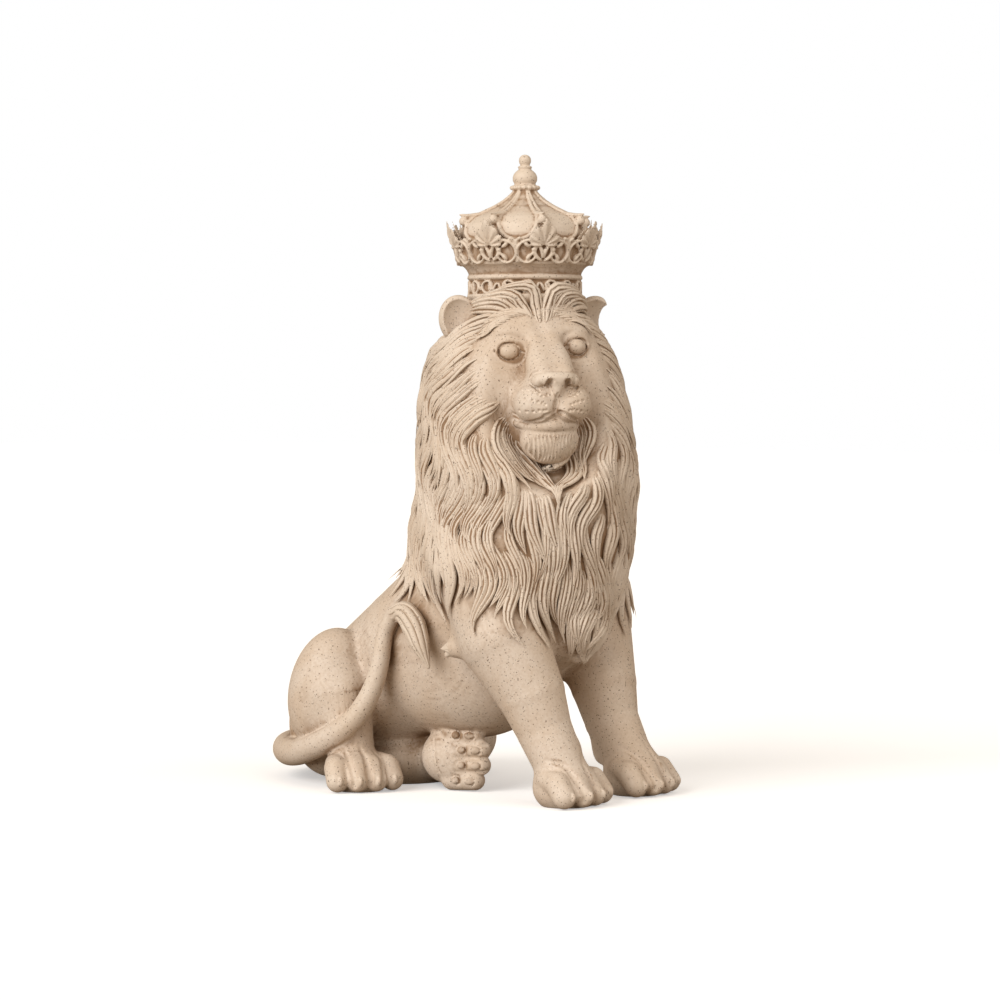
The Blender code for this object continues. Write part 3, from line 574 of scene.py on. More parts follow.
def nose(clay):
    """The broad nose pad with its wings, nostrils and the line round its top."""
    head = HEAD
    pad = [(-6.8, 46.8, 175.8), (-3.2, 50.4, 175.5), (3.2, 50.4, 175.5), (6.8, 46.8, 175.8)]
    clay.add(head.bar(*smooth_path(pad, [2.6, 3.1, 3.1, 2.6])), blend=0.4)
    clay.add(head.bar([(0, 50.4, 173.6), (-0.6, 51.2, 169.4)], [3.2, 1.5]), blend=0.8)
    for side in (-1, 1):
        clay.add(head.ball((side * 7.6, 46.8, 174.6), (2.5, 4.0, 2.9)), blend=0.4)
        hole = [(side * 3.3, 53.8, 174.2), (side * 4.4, 53.2, 172.2), (side * 7.2, 50.0, 171.0),
                (side * 9.8, 45.0, 173.4)]
        clay.cut(head.bar(*smooth_path(hole, [1.5, 1.4, 1.0, 0.5])), blend=0.15)
        clay.cut(head.ball((side * 3.9, 52.6, 173.5), (1.6, 4.4, 2.2)), blend=0.15)
    rim = clay.settled(np.array([head.at(*p) for p in ((-10.4, 43, 175.6), (-9.0, 46, 178.2), (-5.4, 50,
                                                                                               179.2),
                                                      (0, 51, 179.0), (5.4, 50, 179.2), (9.0, 46, 178.2),
                                                      (10.4, 43, 175.6))]))
    clay.cut(Bar(*smooth_path(rim, [0.4, 0.8, 0.85, 0.75, 0.85, 0.8, 0.4])), blend=0.3)


def mouth(clay):
    """The line between the lips, the groove under the nose and the whisker pits."""
    head = HEAD
    for side in (-1, 1):
        line = [(-0.9, 56, 161.0), (side * 3.2 - 0.6, 56, 158.6), (side * 7.0, 52, 157.4),
                (side * 10.4, 46, 157.6),
                (side * 12.8, 38, 158.9), (side * 14.2, 33, 161.2)]
        line = clay.settled(np.array([head.at(*p) for p in line]), rounds=5)
        clay.cut(Bar(*smooth_path(line, [0.9, 1.0, 1.05, 1.1, 1.4, 0.3])), blend=0.25)
        for row, up in enumerate((169.3, 165.7, 162.2)):
            for k in range(6):
                pit = head.at(side * (4.8 + 1.65 * k + 0.5 * (row % 2)), 56 - 2.2 * k, up + 0.2 * k)
                pit = clay.settled(pit[None], rounds=6)[0]
                clay.cut(Ball(pit, (0.75, 0.75, 0.62)), blend=0.1)
    groove = clay.settled(np.array([head.at(*p) for p in ((-0.5, 55, 168.6), (-0.8, 55, 165), (-0.9, 55,
                                                                                               160.6))]))
    clay.cut(Bar(groove, [0.8, 1.15, 1.1]), blend=0.25)


def beard(clay):
    """Wavy vertical strands on the chin, below the plain lip."""
    for k in range(-7, 8):
        side = k * 1.62
        comb = []
        for step, up in enumerate((153.0, 150.8, 148.6, 146.2, 143.8, 141.6)):
            sway = 0.35 * math.sin(step * 1.5 + k)
            round_chin = 11 * math.sqrt(max(0.05, 1 - (side / 12.6) ** 2 - ((up - 150.5) / 10.4) ** 2))
            comb.append(HEAD.at(side * (1.03 - 0.05 * step) + sway, 38 + round_chin, up))
        comb = clay.settled(np.array(comb), rounds=5)
        clay.cut(Bar(*smooth_path(comb, [0.2, 0.75, 0.85, 0.85, 0.75, 0.3], 3)), blend=0.25)


def eye(clay, side):
    """A round, smooth eyeball that stands proud in its socket, with a groove and soft lids about it."""
    head = HEAD
    centre = np.array((side * 14.4, 0.0, 187.8 + side * 1.0))
    gaze = np.array((side * 0.42, 0.9, 0.0))
    gaze /= np.linalg.norm(gaze)
    across = np.array((gaze[1], -gaze[0], 0.0))
    upward = np.array((0.0, 0.0, 1.0))
    skin = head.local(clay.settled(head.at(centre[0], 30, centre[2])[None], rounds=6))[0]
    clay.cut(head.ball((skin[0], skin[1], skin[2]) + gaze * 2.4, (7.5, 3.4, 5.4)), blend=4.5)
    skin = head.local(clay.settled(head.at(centre[0], 30, centre[2])[None], rounds=6))[0]
    centre[1] = skin[1]

    def ring(start, end, radius, tall):
        """Points round the eye, laid on the skin."""
        turns = np.radians(np.arange(start, end + 1, 15))
        line = [centre + across * math.cos(a) * radius + upward * math.sin(a) * radius * tall
                for a in turns]
        return clay.settled(np.array([head.at(*p) for p in line]))

    for line, radii, blend in ((ring(0, 195, 5.4, 0.84), (0.7, 1.7, 0.7), 1.5),
                               (ring(195, 360, 5.6, 0.8), (0.4, 1.0, 0.4), 1.4)):
        sizes = np.interp(np.linspace(0, 1, len(line)), (0, 0.5, 1), radii)
        clay.add(Bar(*smooth_path(line, sizes, 3)), blend=blend)
    clay.cut(head.ball(centre + gaze * 0.9, (4.7, 2.6, 3.9)), blend=0.3)
    clay.add(head.ball(centre - gaze * 0.4, (4.45, 4.1, 3.7)), blend=0.1)
    for way in (-1, 1):
        corner = np.array([head.at(*(centre + across * way * 4.4)),
                           head.at(*(centre + across * way * 6.9 - upward * 0.7))])
        clay.cut(Bar(clay.settled(corner), [0.8, 0.15]), blend=0.3)


def ears(clay):
    for side in (-1, 1):
        tilt = (8, side * 12, side * 13 - 11)
        clay.add(HEAD.ball((side * 29, 3, 200), (9, 5.4, 10.8), tilt), blend=2)
        clay.cut(HEAD.ball((side * 29.6 - 0.6, 8.0, 200.6), (7.4, 5.2, 9.1), tilt), blend=0.7)


def wrapped(angle):
    return (angle + math.pi) % (2 * math.pi) - math.pi


def around(points):
    """The angle round the neck, from the front towards the lion's left."""
    return np.arctan2(points[:, 0] - NECK[0], NECK[1] - points[:, 1])


def parting(level):
    """The angle of the line that the chest hair falls to, from under the chin to the tip of the bib."""
    return np.interp(level, (50, 75, 124, 150), (-0.1, -0.36, -0.6, HEAD_TURN))


def hair_way(points, normals, curl):
    """The way the hair lies: away from the face, then down in long waves, and together on the chest."""
    angle = around(points)
    level = points[:, 2]
    away = wrapped(angle - parting(level))
    reach = np.abs(away)
    side = np.clip(away / 0.22, -1, 1)
    spread = np.clip((level - 142) / 40, 0, 1.1) * np.clip((2.9 - reach) / 1.2, 0, 1)
    under_chin = np.exp(-((level - 130) / 13) ** 2) * np.clip(1.35 - reach / 0.5, 0, 1)
    middle = np.exp(-((level - 108) / 12) ** 2) * np.clip(1.4 - reach / 0.7, 0, 1)
    at_bib = np.clip((98 - level) / 26, 0, 1) * np.clip((1.6 - reach) / 0.6, 0, 1)
    wave = 0.62 * np.sin(level * 0.16 + angle * 2.6 + 1.5 * np.sin(angle * 3.0)) * np.clip(reach / 0.4,
                                                                                           0.25, 1)
    sideways = np.stack((np.cos(angle), np.sin(angle), np.zeros(len(angle))), axis=1)
    amount = side * (spread + 0.25 * middle - 0.7 * under_chin - 0.55 * at_bib) + wave + curl
    way = sideways * amount[:, None] - np.array((0, 0, 1.0))
    place = HEAD.local(points)
    from_face = np.stack((place[:, 0] * 1.5, np.zeros(len(place)), np.clip(place[:, 2] - 184, -26, 24)),
                         axis=1)
    from_face /= np.maximum(np.linalg.norm(from_face, axis=1, keepdims=True), 1e-9)
    beyond = np.sqrt((place[:, 0] / 27) ** 2 + ((place[:, 2] - 178) / 30) ** 2) - 1
    near = np.exp(-np.clip(beyond, 0, None) / 0.3) * (place[:, 1] > -6) * np.clip((level - 148) / 14, 0, 1)
    way = way * (1 - near)[:, None] + 1.2 * near[:, None] * (from_face @ HEAD.axes.T)
    way -= normals * (way * normals).sum(axis=1, keepdims=True)
    return way / np.maximum(np.linalg.norm(way, axis=1, keepdims=True), 1e-9)


def hairline(level):
    """Half the width of the bare face at a height."""
    return np.interp(level, (139, 141, 143, 150, 156, 162, 168, 175, 183, 192, 199, 203, 204.5),
                     (0, 2, 6, 10, 11.5, 14.5, 19.5, 25, 26, 24, 19, 12, 0))


def face_line():
    """Roots of the locks that frame the face, from the brow down both cheeks to the chin."""
    half = [(1.5, 203.5), (5, 204), (9, 204), (13, 203.5), (17, 201.5), (20.5, 199)]
    half += [(hairline(z) + 0.4, z) for z in np.arange(196, 146, -3.2)]
    return np.array([HEAD.at(side * s, 34 - 0.8 * s, z) for side in (-1, 1) for s, z in half])


def lock_roots(clay, rng, rows, spacing):
    """Where locks grow: rows round the mane, the lowest first, and the line around the face last."""
    roots = []
    reach = 46.0
    count = round(2 * math.pi * reach / spacing)
    for row in range(rows):
        level = 104 + row * 100 / (rows - 1)
        for k in range(count):
            angle = (k + 0.5 * (row % 2) + rng.uniform(-0.3, 0.3)) * 2 * math.pi / count
            here = level + rng.uniform(-4, 4) - 8 * math.cos(angle) * (row < 2)
            roots.append(NECK + (reach * math.sin(angle), -reach * math.cos(angle), here))
    for row in range(3):
        for k in range(7):
            side = (k - 3) * (5.4 - row) + rng.uniform(-1, 1)
            roots.append((side - 1, -82 + 1.5 * row, 98 - 7 * row + rng.uniform(-2, 2)))
    roots = clay.settled(np.array(roots), rounds=6)
    place = HEAD.local(roots)
    inside = (place[:, 1] > 0) & (np.abs(place[:, 0]) < hairline(place[:, 2]) + 1.0)
    return np.vstack((roots[~inside], clay.settled(face_line(), rounds=6)))


def mane_guides(clay, seed, points, stations, length, half, lift, peak):
    """Middle lines of locks from their roots, with their outward directions and half-widths."""
    rng = np.random.default_rng(seed)
    count = len(points)
    length = rng.uniform(*length, count)
    length[points[:, 2] < 96] *= 0.66
    curl = rng.uniform(-0.55, 0.55, count)
    rise = rng.uniform(-0.2, 1.3, count)
    half = rng.uniform(*half, count)
    path = []
    normals = []
    for station in range(stations):
        share = station / (stations - 1)
        normal = clay.slope(points)
        height = lift + (peak - lift) * math.sin(math.pi * min(share * 1.4, 1) * 0.56) + rise * share
        path.append(points + normal * height[:, None])
        normals.append(normal)
        way = hair_way(points, normal, curl * share ** 2)
        points = clay.settled(points + way * (length / (stations - 1))[:, None], rounds=2)
    shape = np.interp(np.linspace(0, 1, stations), (0, 0.08, 0.25, 0.5, 0.8, 1),
                      (0.35, 0.75, 1, 0.95, 0.5, 0.03))
    return np.array(path).swapaxes(0, 1), np.array(normals).swapaxes(0, 1), half[:, None] * shape


def part_of(guides, chosen):
    return tuple(values[chosen] for values in guides)


def tuft_guides(centre, radii, count, spread, toward):
    """Strands that lie side by side over a tuft's core, on the side that faces one way."""
    points, sizes = smooth_path(centre, radii, 4)
    along = np.gradient(points, axis=0)
    along /= np.linalg.norm(along, axis=1, keepdims=True)
    face_way = toward - along * (along @ toward)[:, None]
    face_way /= np.linalg.norm(face_way, axis=1, keepdims=True)
    across = np.cross(along, face_way)
    paths = []
    normals = []
    for k in range(count):
        angle = (k / (count - 1) - 0.5) * spread
        out = face_way * math.cos(angle) + across * math.sin(angle)
        paths.append(points + out * sizes[:, None] * 0.95)
        normals.append(out)
    half = np.tile(np.interp(np.linspace(0, 1, len(points)), (0, 0.25, 0.7, 1), (0.5, 1.6, 1.5, 0.05)),
                   (count, 1))
    return np.array(paths), np.array(normals), half


def gathered(clay, starts, tip, bow, width):
    """Strands that run over the surface from their starts, bow apart and meet in one tip."""
    share = np.linspace(0, 1, 12)
    paths = []
    normals = []
    middle = np.mean(starts, axis=0)
    for start in np.array(starts, float):
        apart = (start - middle) / max(np.linalg.norm(start - middle), 1.0)
        line = start + (tip - start) * share[:, None] + apart * bow * np.sin(share * math.pi)[:, None]
        line = clay.settled(line)
        out = clay.slope(line)
        paths.append(line + out * np.interp(share, (0, 0.15, 0.6, 1), (-0.6, 0.4, 0.9, 1.1))[:, None])
        normals.append(out)
    half = np.tile(width * np.interp(share, (0, 0.2, 0.6, 1), (0.3, 1.0, 0.85, 0.06)), (len(paths), 1))
    return np.array(paths), np.array(normals), half


def elbow_guides(side):
    """The small tuft behind an elbow, whose strands run together into a point."""
    share = np.linspace(0, 1, 10)[:, None]
    tip = np.array((side * 44.6, -36.8, 63.5))
    out = np.array((side * 0.86, -0.5, 0.1))
    starts = [(37.5, -52.5, 75), (40, -51.5, 71.5), (41.3, -50.5, 68), (41.6, -49.5, 64.5),
              (40.6, -48.5, 61)]
    paths = [np.array((side * x, y, z)) * (1 - share) + tip * share + out * 1.3 * np.sin(share * math.pi)
             for x, y, z in starts]
    half = np.tile(np.interp(share[:, 0], (0, 0.25, 0.6, 1), (0.5, 1.7, 1.2, 0.1)), (len(starts), 1))
    return np.array(paths), np.tile(out, (len(starts), 10, 1)), half


def bib_guides(clay):
    """The last locks of the chest, which gather in the point of the bib."""
    starts = [(-2 + 3.7 * k, -86 + 0.5 * abs(k), 90 - 1.2 * abs(k)) for k in range(-4, 5)]
    low = [(-2.6 + 3.0 * k, -84 + 0.4 * abs(k), 79 - abs(k)) for k in range(-3, 4)]
    tip = np.array((-3.2, -80.0, 56.5))
    wide = gathered(clay, starts, tip, 2.6, 1.9)
    short = gathered(clay, low, tip, 1.4, 1.5)
    return tuple(np.concatenate(pair) for pair in zip(wide, short))


def guide_object(name, guides):
    """Guides as chains of edges with what the nodes need stored on their points."""
    points = np.concatenate([g[0].reshape(-1, 3) for g in guides])
    normals = np.concatenate([g[1].reshape(-1, 3) for g in guides])
    half = np.concatenate([g[2].reshape(-1) for g in guides])
    edges = []
    start = 0
    for path, _, _ in guides:
        for _ in range(len(path)):
            edges += [(start + i, start + i + 1) for i in range(path.shape[1] - 1)]
            start += path.shape[1]
    mesh = bpy.data.meshes.new(name)
    mesh.from_pydata(in_frame(points).tolist(), edges, [])
    mesh.attributes.new("out", "FLOAT_VECTOR", "POINT").data.foreach_set("vector", normals.ravel())
    mesh.attributes.new("half_width", "FLOAT", "POINT").data.foreach_set("value", half * FIGURE)
    obj = bpy.data.objects.new(name, mesh)
    bpy.context.scene.collection.objects.link(obj)
    return obj


class Tree:
    """A Geometry Nodes tree with named inputs, built one node at a time."""

    def __init__(self, name, inputs):
        self.group = bpy.data.node_groups.new(name, "GeometryNodeTree")
        face_of = self.group.interface
        face_of.new_socket("Geometry", in_out="OUTPUT", socket_type="NodeSocketGeometry")
        face_of.new_socket("Geometry", in_out="INPUT", socket_type="NodeSocketGeometry")
        self.names = {}
        for label, kind in inputs:
            self.names[label] = face_of.new_socket(label, in_out="INPUT", socket_type=kind).identifier
        self.given = self.group.nodes.new("NodeGroupInput")

    def node(self, kind, *values, **settings):
        node = self.group.nodes.new(kind)
        for key, value in settings.items():
            setattr(node, key, value)
        for socket, value in zip(node.inputs, values):
            if isinstance(value, bpy.types.NodeSocket):
                self.group.links.new(value, socket)
            elif value is not None:
                socket.default_value = value
        return node

    def math(self, operation, *values):
        return self.node("ShaderNodeMath", *values, operation=operation).outputs[0]

    def attribute(self, name, kind):
        return self.node("GeometryNodeInputNamedAttribute", name, data_type=kind).outputs[0]

    def finish(self, geometry, material):
        realized = self.node("GeometryNodeRealizeInstances", geometry).outputs[0]
        painted = self.node("GeometryNodeSetMaterial", realized, None, material).outputs[0]
        self.node("NodeGroupOutput", painted)

    def run(self, obj, **values):
        """Runs the tree on the object and keeps the result as a plain mesh."""
        modifier = obj.modifiers.new(self.group.name, "NODES")
        modifier.node_group = self.group
        for label, value in values.items():
            modifier[self.names[label.replace("_", " ")]] = value
        apply_modifiers(obj)
        return obj


def strand_tree():
    """Sweeps a ridged lens along every guide, turned to the surface and as wide as the guide says."""
    tree = Tree("Strands", (("Profile Points", "NodeSocketInt"), ("Thickness", "NodeSocketFloat"),
                            ("Ridges", "NodeSocketFloat"), ("Ridge Depth", "NodeSocketFloat"),
                            ("Material", "NodeSocketMaterial")))
    points, thickness, ridges, depth, material = list(tree.given.outputs)[1:6]
    curve = tree.node("GeometryNodeMeshToCurve", tree.given.outputs[0]).outputs[0]
    curve = tree.node("GeometryNodeSetCurveNormal", curve, None, tree.attribute("out", "FLOAT_VECTOR"),
                      mode="FREE").outputs[0]
    circle = tree.node("GeometryNodeCurvePrimitiveCircle", points, mode="RADIUS")
    place = tree.math("DIVIDE", tree.node("GeometryNodeInputIndex").outputs[0], points)
    top = tree.math("MINIMUM", tree.math("DIVIDE", place, 0.8), 1.0)
    under = tree.math("MULTIPLY", tree.math("MAXIMUM", tree.math("SUBTRACT", place, 0.8), 0.0), 5.0)
    across = tree.math("SUBTRACT", tree.math("MULTIPLY", tree.math("SUBTRACT", top, under), 2.0), 1.0)
    arch = tree.math("SQRT", tree.math("MAXIMUM", tree.math("SUBTRACT", 1.0, tree.math("POWER", tree.math(
        "ABSOLUTE", across), 2.0)), 0.0))
    ripple = tree.math("COSINE", tree.math("MULTIPLY", across, tree.math("MULTIPLY", ridges, math.pi)))
    upper = tree.math("MULTIPLY", tree.math("ADD", 1.0, tree.math("MULTIPLY", ripple, depth)), thickness)
    below = tree.math("GREATER_THAN", under, 0.0)
    rise = tree.node("ShaderNodeMix", data_type="FLOAT")
    tree.group.links.new(below, rise.inputs[0])
    tree.group.links.new(upper, rise.inputs[2])
    rise.inputs[3].default_value = -0.5
    height = tree.math("MULTIPLY", arch, rise.outputs[0])
    shape = tree.node("ShaderNodeCombineXYZ", height, across, 0.0).outputs[0]
    profile = tree.node("GeometryNodeSetPosition", circle.outputs[0], None, shape).outputs[0]
    profile = tree.node("GeometryNodeStoreNamedAttribute", profile, None, "across", across,
                        data_type="FLOAT", domain="POINT").outputs[0]
    swept = tree.node("GeometryNodeCurveToMesh", curve, profile, tree.attribute("half_width", "FLOAT"),
                      True)
    tree.finish(swept.outputs[0], material)
    return tree


def ring_tree():
    """Repeats a piece of ornament evenly round the upright axis of the crown."""
    tree = Tree("Ring", (("Count", "NodeSocketInt"), ("Start", "NodeSocketFloat"),
                         ("Material", "NodeSocketMaterial")))
    geometry, count, start, material = list(tree.given.outputs)[:4]
    spots = tree.node("GeometryNodeMeshLine", count, mode="OFFSET")
    spots.inputs["Offset"].default_value = (0, 0, 0)
    share = tree.math("DIVIDE", tree.node("GeometryNodeInputIndex").outputs[0], count)
    angle = tree.math("ADD", tree.math("MULTIPLY", share, 2 * math.pi), start)
    turn = tree.node("ShaderNodeCombineXYZ", 0.0, 0.0, angle).outputs[0]
    copies = tree.node("GeometryNodeInstanceOnPoints", spots.outputs[0], None, geometry)
    tree.group.links.new(turn, copies.inputs["Rotation"])
    tree.finish(copies.outputs[0], material)
    return tree


def brow_guides(clay):
    """The tufts that sweep up from the parting, some over the crown's band, and run out to both ears."""
    stations = 14
    paths = []
    normals = []
    widths = []
    for side, count in ((-1, 11), (1, 11)):
        for k in range(count):
            share = k / (count - 1)
            start = -3.4 + side * (0.2 + 15.5 * share ** 1.3)
            point = clay.settled(HEAD.at(start, 27, 201.2 + 2.4 * math.sin(math.pi * share))[None],
                                 rounds=6)
            heading = 40 + 40 * share
            curl = 66 - 34 * share
            length = 23 - 6 * share + 2 * math.sin(k * 2.3)
            line = []
            for station in range(stations):
                t = station / (stations - 1)
                line.append(point[0])
                a = math.radians(side * (heading + curl * t ** 0.8 - 34 * max(0.0,
                                                                              t - 0.66) * (k % 3 == 1)))
                step = HEAD.axes @ np.array((math.sin(a), 0.0, 0.0)) + np.array((0, 0, math.cos(a)))
                point = clay.settled(point + step * length / (stations - 1), rounds=3)
            line = np.array(line)
            out = clay.slope(line)
            lift = np.interp(np.linspace(0, 1, stations), (0, 0.2, 0.7, 1),
                             (-0.2, 0.8, 1.0, 1.3 + 0.4 * (k % 3)))
            paths.append(line + out * lift[:, None])
            normals.append(out)
            widths.append(1.15 + 0.25 * math.sin(k * 1.7))
    shape = np.interp(np.linspace(0, 1, stations), (0, 0.12, 0.45, 0.8, 1), (0.35, 0.8, 1.0, 0.6, 0.04))
    return np.array(paths), np.array(normals), np.array(widths)[:, None] * shape


def wall_radius(height):
    """The crown's outer radius at a height, from its band up to the tips of its leaves."""
    return np.interp(height, (210, 217, 219, 223.4, 233, 241.5), (23.1, 23.1, 23.8, 27.2, 29.8, 31.9))


def on_wall(points, lift=0.0):
    """Points drawn across and up, laid round the crown's wall, with their outward directions."""
    points = np.array(points, float)
    radius = wall_radius(points[:, 1])
    angle = points[:, 0] / radius
    out = np.stack((np.sin(angle), -np.cos(angle), np.full(len(angle), -0.24)), axis=1)
    out /= np.linalg.norm(out, axis=1, keepdims=True)
    place = np.stack((radius * np.sin(angle), -radius * np.cos(angle), points[:, 1]), axis=1)
    return place + out * lift, out


def strand(bm, points, normals, widths, heights, sides=10):
    """A closed strand along the points: half-widths sideways, and half-heights along the normals."""
    along = np.gradient(points, axis=0)
    across = np.cross(normals, along)
    across /= np.maximum(np.linalg.norm(across, axis=1, keepdims=True), 1e-9)
    rings = []
    for i in range(len(points)):
        ring = []
        for k in range(sides):
            a = 2 * math.pi * k / sides
            place = points[i] + across[i] * math.cos(a) * widths[i] + normals[i] * math.sin(a) * heights[i]
            ring.append(bm.verts.new(place))
        rings.append(ring)
    for k in range(sides):
        n = (k + 1) % sides
        for a, b in zip(rings, rings[1:]):
            bm.faces.new((a[k], a[n], b[n], b[k]))
    bm.faces.new(rings[0][::-1])
    bm.faces.new(rings[-1])


def tapered(count, middle, ends=0.25):
    """A size along a strand that swells in the middle."""
    return middle * (ends + (1 - ends) * np.sin(np.linspace(0, math.pi, count)) ** 0.6)


def bead(bm, centre, radius):
    bmesh.ops.create_icosphere(bm, subdivisions=3, radius=radius, matrix=Matrix.Translation(Vector(centre)))


def scroll_line(side, width, height, turn=205, steps=33):
    """A C-shaped scroll with both ends curled in. It is open towards its leaf."""
    points = []
    for i in range(steps):
        t = 2 * i / (steps - 1) - 1
        angle = t * math.radians(turn)
        size = 1 - 0.62 * (max(0.0, abs(t) - 0.42) / 0.58) ** 0.9
        points.append((side * (1.0 + math.cos(angle) * size) * width / 2,
                       math.sin(angle) * size * height / 2))
    return np.array(points)


def fan_leaf(bm):
    """A palm leaf on the wall, with flutes that spread from its foot and a tip that leans outwards."""
    turns = np.radians(np.linspace(-105, 105, 57))
    shares = np.linspace(0.0, 1.0, 10)
    edge = np.interp(np.abs(np.degrees(turns)), (0, 7, 16, 30, 50, 72, 90, 105),
                     (11.4, 10.3, 9.2, 8.5, 7.9, 6.9, 5.6, 4.0))
    waves = np.cos(turns * LEAF_FLUTES)
    rows = []
    for share in shares:
        reach = (edge + 0.12 * waves * share) * share
        line = np.stack((np.sin(turns) * reach, np.cos(turns) * reach + LEAF_FOOT), axis=1)
        flute = (0.5 + 0.5 * waves) * np.interp(share, (0, 0.25, 0.75, 1), (0.1, 0.8, 0.75, 0.0))
        crown_up = 0.9 + 0.5 * math.sin(math.pi * share) + 1.3 * share ** 2 * np.cos(turns / 1.2) ** 2
        points, out = on_wall(line)
        rows.append((points + out * (crown_up + flute)[:, None], points + out * (crown_up - 2.2)[:, None]))
    rings = [[bm.verts.new(p) for p in top] + [bm.verts.new(p) for p in low[::-1]] for top, low in rows]
    count = len(rings[0])
    for a, b in zip(rings, rings[1:]):
        for k in range(count):
            n = (k + 1) % count
            bm.faces.new((a[k], a[n], b[n], b[k]))
    bm.faces.new(rings[-1])
    bm.faces.new(rings[0][::-1])


def wall_scrolls(bm, reach):
    """The pair of C-scrolls on both sides of a leaf, with the small leaves between them."""
    for side in (-1, 1):
        line = scroll_line(side, reach * 0.88, SCROLL_HEIGHT)
        points, out = on_wall(line + (side * 0.95, SCROLL_MIDDLE), lift=0.35)
        strand(bm, points, out, tapered(len(line), 0.6, 0.6), tapered(len(line), 1.25, 0.7))
        for end in (0, -1):
            bead(bm, points[end] + out[end] * 0.4, 0.85)
        for foot, tip, lean in (((0.4, 224.4), (3.6, 228.4), 0.9), ((0.3, 225.6), (2.4, 231.2), -0.7),
                                ((6.6, 224.6), (4.6, 227.6), 0.5), ((8.0, 232.4), (5.4, 230.0), 0.5)):
            share = np.linspace(0, 1, 9)
            x = foot[0] + (tip[0] - foot[0]) * share + lean * np.sin(math.pi * share)
            y = foot[1] + (tip[1] - foot[1]) * share
            points, out = on_wall(np.stack((side * x, y), axis=1), lift=0.7)
            strand(bm, points, out, tapered(9, 0.85), tapered(9, 1.0))
    share = np.linspace(0, 1, 9)
    points, out = on_wall(np.stack((reach + 0 * share, 223.8 + 9.4 * share), axis=1), lift=0.2)
    strand(bm, points, out, np.interp(share, (0, 0.2, 0.5, 0.8, 1), (1.2, 0.7, 0.9, 0.7, 1.5)),
           tapered(9, 1.1, 0.6))
    for side in (-1, 1):
        x = reach + side * 2.4 * np.sin(share * math.pi / 2)
        points, out = on_wall(np.stack((x, 232.2 + 1.6 * np.sin(share * math.pi * 0.8)), axis=1), lift=0.2)
        strand(bm, points, out, tapered(9, 0.6, 0.5), tapered(9, 1.0, 0.6))


def band_relief(bm, reach):
    """Winding stems with curled leaves on the crown's band."""
    for k, flip in ((-0.5, -1), (0.5, 1)):
        place = k * reach
        line = scroll_line(1, 6.4, 4.9, turn=230) - (3.1, 0)
        points, out = on_wall(line * (flip, flip) + (place, BAND_MIDDLE), lift=0.1)
        strand(bm, points, out, tapered(len(line), 0.55, 0.5), tapered(len(line), 1.15, 0.6), sides=8)
        for end in (0, -1):
            bead(bm, points[end] + out[end] * 0.2, 0.75)
        share = np.linspace(0, 1, 9)
        for side in (-1, 1):
            x = place + flip * side * (2.6 + 1.7 * share)
            y = BAND_MIDDLE + side * (2.0 - 3.6 * share) + 0.5 * np.sin(share * math.pi)
            points, out = on_wall(np.stack((x, y), axis=1), lift=0.1)
            strand(bm, points, out, tapered(9, 0.62), tapered(9, 1.0), sides=8)


# The dome's radius and height, from its eave up to the collar
DOME = [(26.4, 233.2), (26.8, 236.6), (25.6, 240.4), (22.4, 243.2), (17.4, 245.6)]
DOME += [(12.6, 247.9), (8.4, 250.6), (5.6, 253.2), (4.6, 254.6)]


def on_dome(drop, angle, lift=0.0):
    """A point on the dome at a share of the way from the collar down to the eave."""
    at = (1 - drop) * (len(DOME) - 1)
    i = np.minimum(at.astype(int), len(DOME) - 2)
    t = (at - i)[:, None]
    profile = np.array(DOME)
    ring = profile[i] + (profile[i + 1] - profile[i]) * t
    run = profile[i + 1] - profile[i]
    out = np.stack((run[:, 1], -run[:, 0]), axis=1)
    out /= np.linalg.norm(out, axis=1, keepdims=True)
    ring = ring + out * lift
    turn = np.stack((np.sin(angle), -np.cos(angle)), axis=1)
    return (np.column_stack((turn * ring[:, :1], ring[:, 1])),
            np.column_stack((turn * out[:, :1], out[:, 1])))


def dome_panel(bm, middle):
    """The raised edge round one panel of the dome, and the soft swell inside it."""
    t = np.linspace(-1, 1, 61)
    drop = 1.0 - 0.985 * np.clip(np.abs(t) - 0.13, 0, None) / 0.87
    open_share = np.sqrt(np.clip(1 - (np.clip(drop - 0.58, 0, None) / 0.42) ** 2, 0, None))
    pinch = np.interp(drop, (0, 0.3, 0.6, 1), (0.78, 0.8, 0.86, 0.93))
    angle = middle + np.sign(t) * math.pi / CROWN_LEAVES * pinch * open_share
    points, out = on_dome(drop, angle, lift=0.1)
    size = np.interp(drop, (0, 0.4, 1), (0.55, 0.8, 1.0))
    strand(bm, points, out, size, size * 1.1, sides=8)


def leaf_point(bm):
    """The point that juts from the eave over each leaf, and the ball under it."""
    share = np.linspace(0, 1, 11)
    radius = 14.0 + 14.6 * share
    height = np.interp(share, (0, 0.4, 0.75, 1), (246.6, 244.6, 243.9, 244.3))
    points = np.stack((0 * share, -radius, height), axis=1)
    out = np.tile((0.0, 0.0, 1.0), (11, 1))
    strand(bm, points, out, np.interp(share, (0, 0.5, 0.8, 1), (0.8, 2.2, 1.8, 0.3)), tapered(11, 0.9, 0.4),
           sides=8)
    bead(bm, (0, -26.7, 241.6), 1.95)


def crown_sector():
    """One eighth of the crown's ornament, round the upright axis."""
    bm = bmesh.new()
    reach = math.pi * WALL_RADIUS / CROWN_LEAVES
    fan_leaf(bm)
    wall_scrolls(bm, reach)
    band_relief(bm, math.pi * BAND_RADIUS / CROWN_LEAVES)
    dome_panel(bm, math.pi / CROWN_LEAVES)
    leaf_point(bm)
    return bm


